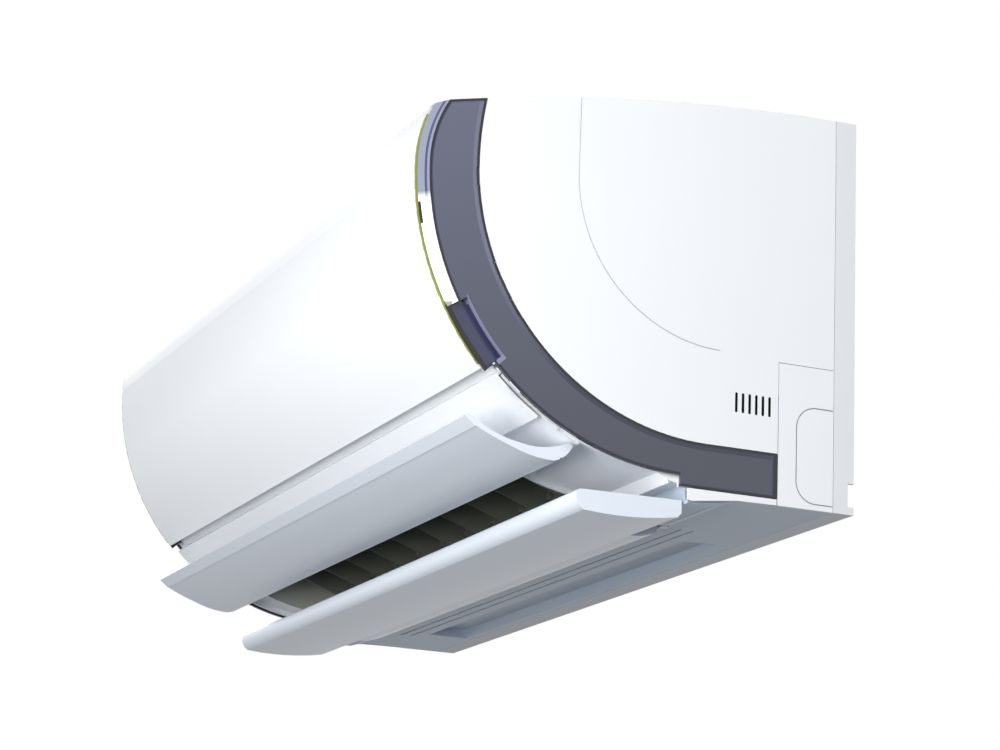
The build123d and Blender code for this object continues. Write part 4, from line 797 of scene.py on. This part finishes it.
# %% [markdown]
# ## Floor and world
# The unit hangs 2 m up a wall, and the picture looks up at its right end. The floor is
# 2.2 m below it and only shows as the light that it throws back up, so it is grey for
# light and white for what is seen directly or in a gloss. From below it is clear, which
# lets a view from under the floor see the unit. The world is white and grey likewise.

# %% Floor and world
FLOOR_LEVEL = -2.2  # m
FLOOR_HALF = 6.0  # m
WHITE = (1.0, 1.0, 1.0, 1.0)


def seen_ray(tree):
    """One for a ray from the camera, off a gloss or through acrylic, and else zero."""
    ray = add(tree, "LightPath")
    direct = {0: ray.outputs["Is Camera Ray"], 1: ray.outputs["Is Glossy Ray"]}
    either = add(tree, "Math", direct, operation="MAXIMUM")
    through = {0: either, 1: ray.outputs["Is Transmission Ray"]}
    return add(tree, "Math", through, operation="MAXIMUM")


bm = bmesh.new()
made = bmesh.ops.create_grid(bm, x_segments=1, y_segments=1, size=FLOOR_HALF)["verts"]
bmesh.ops.translate(bm, vec=(0, 0, FLOOR_LEVEL), verts=made)
data = bpy.data.meshes.new("floor")
bm.to_mesh(data)
bm.free()
floor = bpy.data.objects.new("floor", data)
bpy.context.scene.collection.objects.link(floor)

pale, tree, shader = new_material("Pale studio floor", Roughness=0.9)
cloud = add(tree, "TexNoise", {"Vector": position(tree), "Scale": 3.0})
tint = add(tree, "Mix", {"Factor": cloud, "A": "#575F68", "B": "#545C65"}, data_type="RGBA")
feed(tree, shader, {"Base Color": tint})
white = add(tree, "Emission", {"Color": WHITE, "Strength": 0.42})
bright = add(tree, "BsdfDiffuse", {"Color": "#F4F5F6"})
shown = add(tree, "AddShader", {0: bright, 1: white})
choice = add(tree, "MixShader", {0: seen_ray(tree), 1: shader, 2: shown})
under = add(tree, "NewGeometry").outputs["Backfacing"]
sided = add(tree, "MixShader", {0: under, 1: choice, 2: add(tree, "BsdfTransparent")})
feed(tree, tree.nodes["Material Output"], {"Surface": sided})
data.materials.append(pale)

world = bpy.data.worlds.new("studio")
bpy.context.scene.world = world
world.use_nodes = True
tree = world.node_tree
tree.nodes.clear()
ambient = add(tree, "Background", {"Color": "#DDE4EC", "Strength": 0.32})
backdrop = add(tree, "Background", {"Color": WHITE, "Strength": 1.0})
choice = add(tree, "MixShader", {0: seen_ray(tree), 1: ambient, 2: backdrop})
add(tree, "OutputWorld", {"Surface": choice})
print("floor at", FLOOR_LEVEL, "m")

# %% [markdown]
# ## Lamps
# A big soft lamp at the right lights the side. A smaller one low in front reaches the
# strip under the panel and the flaps, and three more at the left, above and behind keep
# the other views from going dark. All are square and white, and each is turned towards
# a point on the cabinet.

# %% Lamps
LAMPS = (  # name, place, aim, size in metres and power in watts
    ("key_right", (3.2, -1.15, 1.5), (0, -0.2, 0), 2.0, 67),
    ("fill_front", (0.9, -1.5, -0.3), (0.2, -0.25, -0.15), 1.0, 25),
    ("fill_left", (-3.2, 0.0, 0.8), (-0.3, -0.2, 0), 1.8, 28),
    ("fill_top", (0.0, 0.6, 3.4), (0, -0.1, 0), 2.0, 14),
    ("fill_back", (0.0, 3.4, 0.6), (0, 0, 0), 2.2, 36),
)
for name, spot, aim, size, power in LAMPS:
    data = bpy.data.lights.new(name, "AREA")
    data.shape = "SQUARE"
    data.size = size
    data.energy = power
    lamp = bpy.data.objects.new(name, data)
    lamp.location = spot
    towards = Vector(aim) - Vector(spot)
    lamp.rotation_euler = towards.to_track_quat("-Z", "Y").to_euler()
    bpy.context.scene.collection.objects.link(lamp)
print("lamps", len(LAMPS))

# %% [markdown]
# ## Camera
# The camera stands low at the right and looks up. Its place and lens were found from
# the corners of the cabinet in the photograph, so it needs no shift.

# %% Camera
EYE = Vector((2.19893, -1.04068, -0.63330))
YAW, PITCH, ROLL = 0.393794, 0.256936, 0.040407  # radians
LENS = 100.65  # mm, on a sensor 36 mm wide

heading = Vector((-math.cos(YAW), math.sin(YAW), 0.0))
ahead = heading * math.cos(PITCH) + Vector((0.0, 0.0, math.sin(PITCH)))
level_right = Vector((math.sin(YAW), math.cos(YAW), 0.0))
level_up = level_right.cross(ahead)
right = level_right * math.cos(ROLL) + level_up * math.sin(ROLL)
up = level_up * math.cos(ROLL) - level_right * math.sin(ROLL)
data = bpy.data.cameras.new("camera")
data.lens = LENS
data.sensor_width = 36.0
data.clip_end = 50.0
camera = bpy.data.objects.new("camera", data)
turn = Matrix((right, up, -ahead)).transposed()
camera.matrix_world = Matrix.Translation(EYE) @ turn.to_4x4()
bpy.context.scene.collection.objects.link(camera)
bpy.context.scene.camera = camera
bpy.context.scene.view_settings.view_transform = "Standard"
print("camera", round(EYE.length, 2), "m from the origin, lens", LENS, "mm")
